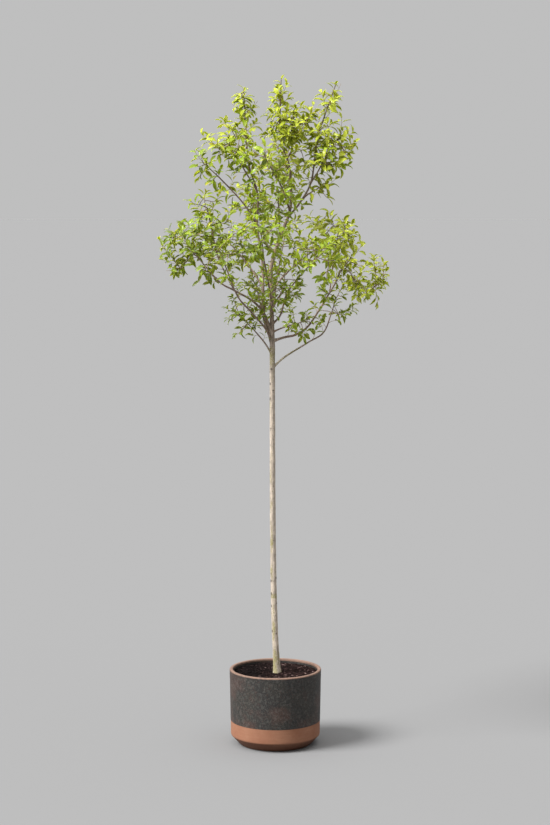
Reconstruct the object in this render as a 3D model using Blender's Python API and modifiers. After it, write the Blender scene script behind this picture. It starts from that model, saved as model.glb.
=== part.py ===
"""A cherry laurel grown as a standard tree, standing in a round glazed pot.

A clear stem rises from the compost, forks into three leaders and throws boughs to all sides.
Every bough ends in its own mass of foliage: twigs that branch from one stem, with leaves on them.
Metres, +Z up, with the origin at the centre of the pot's flat underside.
"""
import math
import random

import bmesh
import bpy
from mathutils import Matrix, Vector
from mathutils.bvhtree import BVHTree
from mathutils.geometry import intersect_point_line

# Clearance between neighbouring solids, and round the limbs that foliage grows past
GAP = 0.0003
LEAF_CLEARANCE = 0.004

# Pot: a thick clay tub with straight sides, a rolled rim and a chamfered foot
POT_HEIGHT = 0.604
POT_RIM_RADIUS = 0.366
POT_BAND_HEIGHT = 0.190
POT_BAND_RADIUS = 0.3585
POT_CREASE_HEIGHT = 0.075
POT_CREASE_RADIUS = 0.3566
POT_FOOT_RADIUS = 0.285
POT_WALL = 0.028
POT_FLOOR = 0.036
POT_RIM_ROUND = 0.010
POT_CORNER_ROUND = 0.040
POT_SIDES = 40

# Compost: filled to a little below the rim
SOIL_TOP = 0.574

# Trunk: a straight clear stem that leans slightly as it leaves the compost
TRUNK_FOOT_X = 0.014
TRUNK_LEAN = 0.038
TRUNK_LEAN_HEIGHT = 0.55
TRUNK_SWAY = 0.012
FORK_HEIGHT = 3.170
TRUNK_TOP_RADIUS = 0.0205
TRUNK_TAPER = 0.0055
TRUNK_TAPER_HEIGHT = 1.1
TRUNK_FLARE = 0.009
TRUNK_FLARE_HEIGHT = 0.06
STRAIGHT_END = 0.02
TRUNK_STEP = 0.20

# Limbs: each tapers to one common tip radius, and its foot is thinner than what carries it
LIMB_TIP_RADIUS = 0.0052
LIMB_TAPER_POWER = 0.8
LIMB_STEP = 0.100
FORK_SHARE = 0.75
TRUNK_ROUNDNESS = 2
LIMB_ROUNDNESS = 1
BARK_CREASE = math.radians(50)

# Space of a mass, in half-widths from its centre: where its bough ends, and its outer edge
ENTRY_DEPTH = 0.74
SPACE_EDGE = 1.06
WALL_GAP = 0.0015

# Twigs: three-sided shoots that run from the stem to points near the edge of the space
SEED = 5
TWIG_FOOT_RADIUS = 0.0045
TWIG_TIP_RADIUS = 0.0030
TWIG_SIDE = (0.3, 0.2, 1.0)
STEM_REACH = 0.45
SHOOT_REACH = (0.66, 0.90)
SHOOT_SHORTEST = 0.035
SHOOT_JITTER = 0.2
ROOT_SET_BACK = 0.25
ROOT_SPAN = (0.15, 0.85)

# Leaves: each stands for a small spray. They spiral down a shoot from the one at its tip
LEAVES_IN_ALL = 415
LEAVES_PER_SHOOT = 3.6
LEAF_PLACES = 9
LEAF_ROWS = (0.95, 0.20)
LEAF_LENGTH = (0.110, 0.215)
LEAF_SHORTENING = 0.85
LEAF_FIT = 0.995
LEAF_WIDTH_SHARE = 0.52
LEAF_THICKNESS_SHARE = 0.030
LEAF_WIDEST = 0.42
LEAF_PITCH = math.radians(60)
LEAF_PITCH_SPREAD = 0.2
TIP_LEAF_PITCH = math.radians(12)
LEAF_DROOP = 0.22
LEAF_FACING = 0.8
LEAF_ROLL = math.radians(55)
GOLDEN_ANGLE = math.pi * (3 - math.sqrt(5))

# Finishes
BARK = (0.36, 0.31, 0.22)
GLAZE = (0.045, 0.043, 0.040)
COMPOST = (0.030, 0.022, 0.016)
LEAF_LOW = (0.085, 0.115, 0.022)
LEAF_HIGH = (0.300, 0.330, 0.055)

# Masses of foliage: name, centre and half-widths of the space that each keeps to
MASSES = (
    ("left_outer", (-0.67, -0.05, 3.96), (0.26, 0.27, 0.29)),
    ("left_upper", (-0.53, 0.08, 4.24), (0.26, 0.25, 0.17)),
    ("left_front", (-0.41, -0.36, 3.90), (0.21, 0.24, 0.21)),
    ("left_back", (-0.38, 0.42, 4.00), (0.24, 0.25, 0.26)),
    ("left_low", (-0.25, -0.03, 3.40), (0.17, 0.22, 0.27)),
    ("front", (-0.10, -0.52, 4.05), (0.24, 0.25, 0.24)),
    ("front_low", (0.07, -0.34, 3.67), (0.23, 0.24, 0.21)),
    ("back", (0.07, 0.60, 4.00), (0.28, 0.25, 0.28)),
    ("back_low", (-0.15, 0.33, 3.62), (0.24, 0.24, 0.22)),
    ("right_front", (0.31, -0.40, 3.88), (0.23, 0.25, 0.24)),
    ("right_back", (0.41, 0.40, 3.99), (0.26, 0.26, 0.26)),
    ("right_top", (0.49, 0.02, 4.06), (0.22, 0.24, 0.20)),
    ("right_outer", (0.68, -0.06, 3.73), (0.22, 0.26, 0.28)),
    ("right_low", (0.46, 0.10, 3.52), (0.24, 0.25, 0.21)),
    ("right_inner", (0.21, -0.12, 3.38), (0.20, 0.22, 0.17)),
    ("waist_left", (-0.53, 0.02, 4.59), (0.18, 0.20, 0.16)),
    ("upper_left", (-0.35, -0.05, 4.74), (0.23, 0.25, 0.27)),
    ("upper_front", (-0.07, -0.34, 4.63), (0.25, 0.23, 0.25)),
    ("upper_back", (0.07, 0.36, 4.65), (0.27, 0.25, 0.29)),
    ("upper_right", (0.43, 0.00, 4.74), (0.22, 0.25, 0.27)),
    ("waist_right", (0.36, 0.04, 4.42), (0.13, 0.20, 0.14)),
    ("middle_front", (0.02, -0.30, 4.34), (0.20, 0.22, 0.18)),
    ("middle_back", (-0.17, 0.32, 4.31), (0.23, 0.24, 0.22)),
    ("upper_top", (0.12, 0.00, 4.92), (0.26, 0.26, 0.19)),
    ("top", (0.04, 0.00, 5.14), (0.10, 0.12, 0.15)),
    ("top_left", (-0.24, -0.02, 5.06), (0.11, 0.14, 0.16)),
    ("top_right", (0.43, 0.02, 5.11), (0.11, 0.14, 0.15)),
)

# Limbs: name, what carries it, height where it leaves, foot radius, the bends it passes
# through, and the mass that it ends in
LIMBS = (
    ("main_leader", "trunk", FORK_HEIGHT, TRUNK_TOP_RADIUS,
     ((-0.03, 0.00, 3.54), (-0.03, 0.00, 3.82), (0.06, 0.00, 4.09), (0.12, 0.00, 4.28),
      (0.11, 0.00, 4.57), (0.04, 0.00, 4.80)), "top"),
    ("left_leader", "main_leader", 3.21, 0.0145,
     ((-0.09, 0.03, 3.42), (-0.10, 0.04, 3.81), (-0.14, 0.02, 4.10), (-0.14, 0.00, 4.37),
      (-0.21, 0.00, 4.62)), "top_left"),
    ("right_leader", "main_leader", 4.19, 0.0105,
     ((0.19, -0.01, 4.30), (0.28, 0.00, 4.47), (0.33, 0.01, 4.80)), "top_right"),
    ("left_outer_bough", "main_leader", 3.28, 0.0115,
     ((-0.09, -0.04, 3.44), (-0.18, -0.06, 3.54), (-0.32, -0.06, 3.62), (-0.45, -0.05, 3.70)),
     "left_outer"),
    ("left_upper_bough", "left_outer_bough", 3.62, 0.0085,
     ((-0.39, -0.02, 3.75), (-0.46, 0.04, 3.92)), "left_upper"),
    ("left_front_bough", "main_leader", 3.23, 0.0085,
     ((-0.09, -0.08, 3.34), (-0.19, -0.16, 3.46), (-0.30, -0.25, 3.60)), "left_front"),
    ("left_back_bough", "left_leader", 3.64, 0.0075, ((-0.20, 0.19, 3.79),), "left_back"),
    ("left_low_bough", "trunk", 3.11, 0.0075, ((-0.10, -0.03, 3.23),), "left_low"),
    ("front_bough", "main_leader", 3.53, 0.0080,
     ((-0.06, -0.18, 3.72), (-0.09, -0.34, 3.89)), "front"),
    ("front_low_bough", "main_leader", 3.42, 0.0080, ((-0.01, -0.12, 3.50),), "front_low"),
    ("back_bough", "main_leader", 3.44, 0.0085,
     ((0.00, 0.20, 3.62), (0.03, 0.40, 3.80)), "back"),
    ("back_low_bough", "left_leader", 3.37, 0.0080, ((-0.11, 0.16, 3.47),), "back_low"),
    ("right_front_bough", "main_leader", 3.35, 0.0080,
     ((0.04, -0.04, 3.43), (0.09, -0.12, 3.60), (0.19, -0.26, 3.74)), "right_front"),
    ("right_back_bough", "main_leader", 3.60, 0.0080,
     ((0.06, 0.12, 3.72), (0.22, 0.28, 3.86)), "right_back"),
    ("right_outer_bough", "main_leader", 3.22, 0.0105,
     ((0.07, 0.00, 3.25), (0.16, 0.01, 3.27), (0.26, 0.01, 3.34), (0.37, 0.00, 3.51),
      (0.46, -0.02, 3.66), (0.54, -0.04, 3.80)), "right_outer"),
    ("right_top_bough", "right_outer_bough", 3.60, 0.0075, ((0.45, 0.04, 3.80),), "right_top"),
    ("right_low_bough", "trunk", 3.01, 0.0085,
     ((0.08, 0.00, 3.10), (0.26, 0.02, 3.21), (0.39, 0.05, 3.30)), "right_low"),
    ("right_inner_bough", "main_leader", 3.29, 0.0075, ((0.06, -0.06, 3.33),), "right_inner"),
    ("waist_left_bough", "left_leader", 4.13, 0.0080, ((-0.27, 0.03, 4.32),), "waist_left"),
    ("upper_left_bough", "left_leader", 4.40, 0.0080, ((-0.22, -0.04, 4.52),), "upper_left"),
    ("upper_front_bough", "main_leader", 4.24, 0.0085, ((0.04, -0.15, 4.44),), "upper_front"),
    ("upper_back_bough", "main_leader", 4.34, 0.0085, ((0.10, 0.15, 4.47),), "upper_back"),
    ("upper_right_bough", "right_leader", 4.45, 0.0080, ((0.34, -0.03, 4.56),), "upper_right"),
    ("waist_right_bough", "right_leader", 4.32, 0.0072, ((0.26, 0.02, 4.37),), "waist_right"),
    ("middle_front_bough", "main_leader", 4.02, 0.0080, ((0.03, -0.12, 4.16),), "middle_front"),
    ("middle_back_bough", "left_leader", 4.00, 0.0080, ((-0.15, 0.13, 4.13),), "middle_back"),
    ("upper_top_bough", "main_leader", 4.64, 0.0072, ((0.13, 0.01, 4.73),), "upper_top"),
)


def clear_scene():
    """Remove whatever objects the scene holds."""
    for old in list(bpy.data.objects):
        bpy.data.objects.remove(old, do_unlink=True)


def new_collection(name):
    """Make a collection and link it to the scene."""
    made = bpy.data.collections.new(name)
    bpy.context.scene.collection.children.link(made)
    return made


def add_object(name, mesh, home):
    """Put a mesh into a collection as a named object."""
    made = bpy.data.objects.new(name, mesh)
    home.objects.link(made)
    return made


def paint(piece, colour, roughness):
    """Give a piece its own plain finish."""
    finish = bpy.data.materials.new(piece.name + "_finish")
    finish.use_nodes = True
    shader = finish.node_tree.nodes["Principled BSDF"]
    shader.inputs["Base Color"].default_value = (*colour, 1.0)
    shader.inputs["Roughness"].default_value = roughness
    shader.inputs["Metallic"].default_value = 0.0
    piece.data.materials.clear()
    piece.data.materials.append(finish)


# Pot and compost --------------------------------------------------------------------------

def arc(centre, radius, start, end, steps):
    """Points in the XZ plane round a centre, from one angle to another in degrees."""
    points = []
    for i in range(steps + 1):
        angle = math.radians(start + (end - start) * i / steps)
        points.append((centre[0] + radius * math.cos(angle), centre[1] + radius * math.sin(angle)))
    return points


def turned(name, profile, home):
    """Turn an open profile, which runs down its outer side, into a closed solid."""
    mesh = bpy.data.meshes.new(name)
    points = [(x, 0.0, z) for x, z in profile]
    edges = [(i, i + 1) for i in range(len(points) - 1)]
    mesh.from_pydata(points, edges, [])
    piece = add_object(name, mesh, home)
    screw = piece.modifiers.new("turn", "SCREW")
    screw.steps = POT_SIDES
    screw.render_steps = POT_SIDES
    screw.use_merge_vertices = True
    screw.merge_threshold = 0.00005
    return piece


def pot_inner_radius(height):
    """Radius of the inner wall, which follows the outer wall's slight taper."""
    share = (height - POT_BAND_HEIGHT) / (POT_HEIGHT - POT_BAND_HEIGHT)
    return POT_BAND_RADIUS + (POT_RIM_RADIUS - POT_BAND_RADIUS) * share - POT_WALL


def inner_corner(clearance):
    """The rounded corner between the inner wall and the floor, moved in by a clearance."""
    radius = pot_inner_radius(POT_FLOOR) - clearance
    centre = (radius - POT_CORNER_ROUND, POT_FLOOR + clearance + POT_CORNER_ROUND)
    return arc(centre, POT_CORNER_ROUND, 270, 360, 2)


def build_pot(home):
    """A solid clay tub, open at the top, with a rounded rim and a flat underside."""
    rim_in = POT_RIM_RADIUS - POT_WALL + POT_RIM_ROUND
    rim_out = POT_RIM_RADIUS - POT_RIM_ROUND
    rim_level = POT_HEIGHT - POT_RIM_ROUND
    profile = [(0.0, POT_FLOOR)]
    profile += inner_corner(0.0)
    profile += arc((rim_in, rim_level), POT_RIM_ROUND, 180, 90, 3)
    profile += arc((rim_out, rim_level), POT_RIM_ROUND, 90, 0, 3)
    profile += [
        (POT_BAND_RADIUS, POT_BAND_HEIGHT),
        (POT_CREASE_RADIUS, POT_CREASE_HEIGHT),
        (POT_FOOT_RADIUS, 0.0),
        (0.0, 0.0),
    ]
    pot = turned("pot", profile, home)
    paint(pot, GLAZE, 0.55)


def build_soil(home):
    """The compost that fills the pot, a hair clear of its walls and floor."""
    edge = pot_inner_radius(SOIL_TOP) - GAP * 2
    profile = [(0.0, SOIL_TOP), (edge, SOIL_TOP)]
    profile += reversed(inner_corner(GAP * 2))
    profile.append((0.0, POT_FLOOR + GAP * 2))
    soil = turned("soil", profile, home)
    paint(soil, COMPOST, 0.95)


# Trunk and limbs --------------------------------------------------------------------------

def trunk_axis(height):
    """Centre of the trunk at a height above the compost."""
    lean = TRUNK_LEAN * (1 - math.exp(-height / TRUNK_LEAN_HEIGHT))
    sway = TRUNK_SWAY * math.sin(math.pi * height / (FORK_HEIGHT - SOIL_TOP))
    return Vector((TRUNK_FOOT_X - lean, sway, SOIL_TOP + GAP + height))


def trunk_radius(height):
    """The trunk tapers slowly upwards and flares out at its foot."""
    taper = TRUNK_TAPER * math.exp(-height / TRUNK_TAPER_HEIGHT)
    flare = TRUNK_FLARE * math.exp(-height / TRUNK_FLARE_HEIGHT)
    return TRUNK_TOP_RADIUS + taper + flare


def trunk_route():
    """Points and radii up the trunk, upright at both ends so that its cuts are level."""
    length = FORK_HEIGHT - SOIL_TOP - GAP
    heights = [STRAIGHT_END, 0.05, 0.10, 0.18]
    spans = round((length - heights[-1]) / TRUNK_STEP)
    span = (length - STRAIGHT_END - heights[-1]) / spans
    for _ in range(spans):
        heights.append(heights[-1] + span)
    points = [trunk_axis(height) for height in heights]
    radii = [trunk_radius(height) for height in heights]
    foot = Vector((points[0].x, points[0].y, SOIL_TOP + GAP))
    head = Vector((points[-1].x, points[-1].y, FORK_HEIGHT))
    return [foot] + points + [head], [trunk_radius(0.0)] + radii + [TRUNK_TOP_RADIUS]


def curve_through(guides, step):
    """A smooth curve through guide points, read off at an even step."""
    ends = [guides[0] * 2 - guides[1]] + guides + [guides[-1] * 2 - guides[-2]]
    points = [guides[0].copy()]
    for before, start, end, after in zip(ends, ends[1:], ends[2:], ends[3:]):
        count = max(1, round((end - start).length / step))
        for i in range(1, count + 1):
            t = i / count
            points.append(0.5 * (2 * start + (end - before) * t
                                 + (2 * before - 5 * start + 4 * end - after) * t * t
                                 + (3 * start - before - 3 * end + after) * t ** 3))
    return points


def place_at_height(points, radii, height):
    """The first place on a limb's axis at a given height, and the limb's radius there."""
    for i in range(len(points) - 1):
        start, end = points[i], points[i + 1]
        if start.z <= height <= end.z:
            share = (height - start.z) / (end.z - start.z)
            return start.lerp(end, share), radii[i] + (radii[i + 1] - radii[i]) * share
    raise ValueError("no place at this height")


def cut_at_mass(route, mass):
    """Shorten a route so that it ends where it enters its mass."""
    kept = [route[0]]
    for start, end in zip(route, route[1:]):
        if mass.depth(end) < ENTRY_DEPTH:
            low, high = 0.0, 1.0
            for _ in range(30):
                middle = (low + high) / 2
                if mass.depth(start.lerp(end, middle)) < ENTRY_DEPTH:
                    high = middle
                else:
                    low = middle
            kept.append(start.lerp(end, high))
            break
        kept.append(end)
    if len(kept) > 2 and (kept[-1] - kept[-2]).length < LIMB_STEP * 0.3:
        del kept[-2]
    return kept


def limb_radii(route, foot_radius):
    """Radii along a limb, from its foot to its tip."""
    lengths = [0.0]
    for start, end in zip(route, route[1:]):
        lengths.append(lengths[-1] + (end - start).length)
    radii = []
    for length in lengths:
        share = (length / lengths[-1]) ** LIMB_TAPER_POWER
        radii.append(foot_radius + (LIMB_TIP_RADIUS - foot_radius) * share)
    return radii


def limb_mesh(name, route, radii, roundness, grow=0.0):
    """A tapering limb as a closed mesh, grown by a clearance when it serves as a cutter."""
    curve = bpy.data.curves.new(name, "CURVE")
    curve.dimensions = "3D"
    curve.bevel_depth = 1.0
    curve.bevel_resolution = roundness
    curve.use_fill_caps = True
    spline = curve.splines.new("POLY")
    spline.points.add(len(route) - 1)
    for point, place, radius in zip(spline.points, route, radii):
        point.co = (*place, 1.0)
        point.radius = radius + grow
    holder = bpy.data.objects.new(name, curve)
    bpy.context.scene.collection.objects.link(holder)
    bpy.context.view_layer.update()
    graph = bpy.context.evaluated_depsgraph_get()
    mesh = bpy.data.meshes.new_from_object(holder.evaluated_get(graph))
    bpy.data.objects.remove(holder, do_unlink=True)
    bpy.data.curves.remove(curve)
    body = bmesh.new()
    body.from_mesh(mesh)
    bmesh.ops.remove_doubles(body, verts=body.verts, dist=0.00002)
    bmesh.ops.recalc_face_normals(body, faces=body.faces)
    body.to_mesh(mesh)
    body.free()
    mesh.name = name
    return mesh


def add_limb(name, route, radii, roundness, home):
    """A limb as a solid with bark."""
    limb = add_object(name, limb_mesh(name, route, radii, roundness), home)
    limb.data.shade_smooth()
    limb.data.set_sharp_from_angle(angle=BARK_CREASE)
    paint(limb, BARK, 0.85)
    return limb


def guard_of(route, radii, roundness):
    """A search tree of a limb grown by the clearance that foliage keeps from it."""
    mesh = limb_mesh("guard", route, radii, roundness, LEAF_CLEARANCE)
    tree = search_tree(mesh)
    bpy.data.meshes.remove(mesh)
    return tree


def add_seat_cutter(name, route, radii, roundness, home):
    """A limb grown by a hair, which cuts the foot of what it carries to sit on it."""
    cutter = add_object(name + "_seat", limb_mesh(name + "_seat", route, radii, roundness, GAP), home)
    cutter.hide_render = True
    cutter.display_type = "WIRE"
    return cutter


def build_wood(parts, cutters, masses):
    """Trunk, leaders and boughs. Each foot is cut to sit on the limb that carries it."""
    points, radii = trunk_route()
    add_limb("trunk", points, radii, TRUNK_ROUNDNESS, parts)
    shapes = {"trunk": (points, radii, TRUNK_ROUNDNESS)}
    seats = {}
    for name, carrier, height, foot_radius, bends, mass_name in LIMBS:
        mass = masses[mass_name]
        guides = [Vector(bend) for bend in bends] + [mass.centre]
        carrier_points, carrier_radii, carrier_roundness = shapes[carrier]
        crowns_trunk = height == FORK_HEIGHT
        if crowns_trunk:
            start = carrier_points[-1] + Vector((0.0, 0.0, GAP))
            route = [start] + curve_through([start + Vector((0.0, 0.0, STRAIGHT_END))] + guides, LIMB_STEP)
            roundness = carrier_roundness
        else:
            start, thickness = place_at_height(carrier_points, carrier_radii, height)
            foot_radius = min(foot_radius, thickness * FORK_SHARE)
            route = curve_through([start] + guides, LIMB_STEP)
            roundness = LIMB_ROUNDNESS
        route = cut_at_mass(route, mass)
        radii = limb_radii(route, foot_radius)
        limb = add_limb(name, route, radii, roundness, parts)
        if not crowns_trunk:
            if carrier not in seats:
                seats[carrier] = add_seat_cutter(carrier, *shapes[carrier], cutters)
            seat = limb.modifiers.new("seat", "BOOLEAN")
            seat.operation = "DIFFERENCE"
            seat.object = seats[carrier]
        shapes[name] = (route, radii, roundness)
        mass.entry = route[-1].copy()
        mass.heading = (route[-1] - route[-2]).normalized()
    return [guard_of(*shape) for shape in shapes.values()]


# Foliage ----------------------------------------------------------------------------------

class Mass:
    """A space for foliage: an ellipsoid, cut flat where it meets its neighbours."""

    def __init__(self, name, centre, radii):
        self.name = name
        self.centre = Vector(centre)
        self.radii = Vector(radii)
        self.walls = []
        self.entry = None
        self.heading = None

    def scaled(self, offset):
        """An offset from the centre, measured in half-widths."""
        return Vector((offset.x / self.radii.x, offset.y / self.radii.y, offset.z / self.radii.z))

    def depth(self, point):
        """0 at the centre and 1 at the surface of the ellipsoid."""
        return self.scaled(point - self.centre).length

    def reach_along(self, direction):
        """Distance from the centre to the ellipsoid's surface."""
        return 1.0 / self.scaled(direction).length

    def add_wall(self, other):
        """Set a flat limit between two masses, in proportion to their sizes."""
        between = other.centre - self.centre
        direction = between.normalized()
        share = self.reach_along(direction) / (self.reach_along(direction) + other.reach_along(direction))
        self.walls.append((self.centre + between * share - direction * WALL_GAP, direction))

    def holds(self, point):
        """True where a point lies in this mass's own space."""
        if self.depth(point) > SPACE_EDGE:
            return False
        return all((point - place).dot(direction) <= 0 for place, direction in self.walls)

    def room(self, start, direction):
        """Distance from a point inside to the limit of the space, in a direction."""
        near = self.scaled(start - self.centre)
        along = self.scaled(direction)
        a = along.dot(along)
        b = near.dot(along)
        c = near.dot(near) - SPACE_EDGE ** 2
        distance = (-b + math.sqrt(max(b * b - a * c, 0.0))) / a
        for place, wall in self.walls:
            speed = direction.dot(wall)
            if speed > 1e-6:
                distance = min(distance, (place - start).dot(wall) / speed)
        return distance


def frame_along(direction, face_towards):
    """A rotation whose Z runs along a direction and whose Y faces a second one."""
    z = direction.normalized()
    y = face_towards - z * face_towards.dot(z)
    if y.length < 1e-4:
        y = z.orthogonal()
    y.normalize()
    x = y.cross(z)
    return Matrix((x, y, z)).transposed().to_4x4()


def leaf_pattern():
    """A leaf one unit long, as a flattened eight-sided kite with its foot at the origin."""
    mesh = bpy.data.meshes.new("leaf_pattern")
    body = bmesh.new()
    bmesh.ops.create_uvsphere(body, u_segments=4, v_segments=2, radius=0.5)
    for vertex in body.verts:
        if abs(vertex.co.z) < 0.01:
            vertex.co.z = LEAF_WIDEST - 0.5
        vertex.co.x *= LEAF_WIDTH_SHARE
        vertex.co.y *= LEAF_THICKNESS_SHARE
        vertex.co.z += 0.5
    bmesh.ops.triangulate(body, faces=body.faces)
    body.to_mesh(mesh)
    body.free()
    return mesh


def twig_mesh(start, end, foot_radius, tip_radius):
    """A straight three-sided twig between two points."""
    mesh = bpy.data.meshes.new("twig")
    body = bmesh.new()
    length = (end - start).length
    place = Matrix.Translation(start.lerp(end, 0.5)) @ frame_along(end - start, Vector(TWIG_SIDE))
    bmesh.ops.create_cone(body, cap_ends=True, segments=3, radius1=foot_radius,
                          radius2=tip_radius, depth=length, matrix=place)
    body.to_mesh(mesh)
    body.free()
    return mesh


def search_tree(mesh):
    """A search tree of a mesh's faces, which finds where two meshes cross."""
    places = [vertex.co.copy() for vertex in mesh.vertices]
    faces = [tuple(face.vertices) for face in mesh.polygons]
    return BVHTree.FromPolygons(places, faces)


def tree_if_it_fits(mesh, mass, obstacles):
    """The mesh's search tree, or None where it leaves the space or crosses an obstacle."""
    if not all(mass.holds(vertex.co) for vertex in mesh.vertices):
        return None
    tree = search_tree(mesh)
    if any(tree.overlap(obstacle) for obstacle in obstacles):
        return None
    return tree


def shoot_directions(count, rng):
    """Directions spread evenly over a sphere, in a shuffled order."""
    turn = rng.uniform(0.0, math.tau)
    directions = []
    for i in range(count):
        z = 1.0 - 2.0 * (i + 0.5) / count
        flat = math.sqrt(1.0 - z * z)
        angle = turn + GOLDEN_ANGLE * i
        even = Vector((flat * math.cos(angle), flat * math.sin(angle), z))
        jitter = Vector([rng.uniform(-SHOOT_JITTER, SHOOT_JITTER) for _ in range(3)])
        directions.append((even + jitter).normalized())
    rng.shuffle(directions)
    return directions


def nearest_root(twigs, target):
    """The place on the twigs grown so far from which a shoot reaches its target."""
    places = []
    for start, end in twigs:
        share = intersect_point_line(target, start, end)[1] - ROOT_SET_BACK
        places.append(start.lerp(end, min(max(share, ROOT_SPAN[0]), ROOT_SPAN[1])))
    return min(places, key=lambda place: (target - place).length)


def grow_mass(mass, leaf_goal, pattern, guards):
    """Twigs that branch from one stem, and the leaves on them, as separate small meshes."""
    rng = random.Random(f"{mass.name} {SEED}")
    entry = mass.entry + mass.heading * GAP
    stem_end = entry + mass.heading * mass.room(entry, mass.heading) * STEM_REACH
    stem = twig_mesh(entry, stem_end, TWIG_FOOT_RADIUS, TWIG_TIP_RADIUS)
    twigs = [(entry, stem_end)]
    pieces = []
    for direction in shoot_directions(max(4, round(leaf_goal / LEAVES_PER_SHOOT)), rng):
        target = mass.centre + direction * mass.reach_along(direction) * rng.uniform(*SHOOT_REACH)
        root = nearest_root(twigs, target)
        if (target - root).length < SHOOT_SHORTEST:
            continue
        shoot = twig_mesh(root, target, TWIG_FOOT_RADIUS, TWIG_TIP_RADIUS)
        if tree_if_it_fits(shoot, mass, guards):
            pieces.append(shoot)
            twigs.append((root, target))
    obstacles = list(guards)
    turns = [rng.uniform(0.0, math.tau) for _ in twigs]
    leaves = 0
    for row in range(LEAF_PLACES):
        for (start, end), turn in zip(twigs, turns):
            if leaves == leaf_goal:
                break
            leaf = leaf_on_twig(mass, start, end, row, turn, pattern, obstacles, rng)
            if leaf:
                pieces.append(leaf)
                leaves += 1
    return stem, pieces


def leaf_on_twig(mass, start, end, row, turn, pattern, obstacles, rng):
    """One leaf: the first row closes the twig's tip, and the others spiral down from there."""
    axis = (end - start).normalized()
    outward = Matrix.Rotation(turn + GOLDEN_ANGLE * row, 3, axis) @ axis.orthogonal().normalized()
    pitch = LEAF_PITCH + rng.uniform(-LEAF_PITCH_SPREAD, LEAF_PITCH_SPREAD) if row else TIP_LEAF_PITCH
    direction = axis * math.cos(pitch) + outward * math.sin(pitch)
    if row:
        direction.z -= LEAF_DROOP
    direction.normalize()
    root = start.lerp(end, LEAF_ROWS[0] + (LEAF_ROWS[1] - LEAF_ROWS[0]) * row / LEAF_PLACES)
    length = min(mass.room(root, direction), LEAF_LENGTH[1] * rng.uniform(LEAF_SHORTENING, 1.0))
    roll = Matrix.Rotation(rng.uniform(-LEAF_ROLL, LEAF_ROLL), 3, direction)
    if length < LEAF_LENGTH[0]:
        return None
    upward = roll @ (Vector((0.0, 0.0, 1.0)) + (root - mass.centre).normalized() * LEAF_FACING)
    leaf = pattern.copy()
    leaf.transform(Matrix.Translation(root) @ frame_along(direction, upward)
                   @ Matrix.Scale(length * LEAF_FIT, 4))
    tree = tree_if_it_fits(leaf, mass, obstacles)
    if tree is None:
        bpy.data.meshes.remove(leaf)
        return None
    obstacles.append(tree)
    return leaf


def keep_main_body(mesh):
    """Keep the largest connected shell, so no scrap or sealed hollow stays."""
    body = bmesh.new()
    body.from_mesh(mesh)
    bmesh.ops.remove_doubles(body, verts=body.verts, dist=0.000002)
    bmesh.ops.triangulate(body, faces=body.faces)
    left = set(body.faces)
    shells = []
    while left:
        reached = [left.pop()]
        shell = list(reached)
        while reached:
            face = reached.pop()
            for edge in face.edges:
                for other in edge.link_faces:
                    if other in left:
                        left.remove(other)
                        reached.append(other)
                        shell.append(other)
        shells.append(shell)
    shells.sort(key=len)
    dropped = [face for shell in shells[:-1] for face in shell]
    if dropped:
        bmesh.ops.delete(body, geom=dropped, context="FACES")
    loose = [vertex for vertex in body.verts if not vertex.link_faces]
    bmesh.ops.delete(body, geom=loose, context="VERTS")
    body.to_mesh(mesh)
    body.free()


def join_mass(mass, stem, pieces, home):
    """Fuse the stem, twigs and leaves of a mass with one Boolean union."""
    bundle = new_collection(mass.name + "_twigs")
    for i, mesh in enumerate(pieces):
        add_object(f"{mass.name}_piece_{i}", mesh, bundle)
    holder = add_object(mass.name + "_stem", stem, bpy.context.scene.collection)
    union = holder.modifiers.new("join", "BOOLEAN")
    union.operation = "UNION"
    union.operand_type = "COLLECTION"
    union.collection = bundle
    union.solver = "MANIFOLD"
    bpy.context.view_layer.update()
    graph = bpy.context.evaluated_depsgraph_get()
    joined = bpy.data.meshes.new_from_object(holder.evaluated_get(graph))
    keep_main_body(joined)
    for old in [holder] + list(bundle.objects):
        mesh = old.data
        bpy.data.objects.remove(old, do_unlink=True)
        bpy.data.meshes.remove(mesh)
    bpy.data.collections.remove(bundle)
    foliage = add_object(mass.name + "_foliage", joined, home)
    heights = [centre[2] for _, centre, _ in MASSES]
    share = (mass.centre.z - min(heights)) / (max(heights) - min(heights))
    paint(foliage, Vector(LEAF_LOW).lerp(Vector(LEAF_HIGH), share), 0.45)


def build_foliage(home, masses, guards):
    """Every mass of foliage, each in its own space, with leaves in proportion to its surface."""
    for mass in masses.values():
        for other in masses.values():
            if other is not mass:
                mass.add_wall(other)
    pattern = leaf_pattern()
    surfaces = {name: (mass.radii.x * mass.radii.y * mass.radii.z) ** (2 / 3) for name, mass in masses.items()}
    for name, mass in masses.items():
        leaf_goal = round(LEAVES_IN_ALL * surfaces[name] / sum(surfaces.values()))
        stem, pieces = grow_mass(mass, leaf_goal, pattern, guards)
        join_mass(mass, stem, pieces, home)
    bpy.data.meshes.remove(pattern)


def main():
    clear_scene()
    parts = new_collection("cherry_laurel_tree")
    cutters = new_collection("cutters")
    masses = {name: Mass(name, centre, radii) for name, centre, radii in MASSES}
    build_pot(parts)
    build_soil(parts)
    guards = build_wood(parts, cutters, masses)
    build_foliage(parts, masses, guards)


main()
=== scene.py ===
"""The looks of a cherry laurel grown as a standard tree in a round glazed pot.

Clay, glaze, compost, bark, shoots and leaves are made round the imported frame.
Metres, +Z up, with the origin at the centre of the pot's flat underside.
"""
import math
import random

import bpy
import numpy as np
from mathutils import Matrix, Vector, noise
from mathutils.bvhtree import BVHTree
from mathutils.geometry import intersect_point_line


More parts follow.
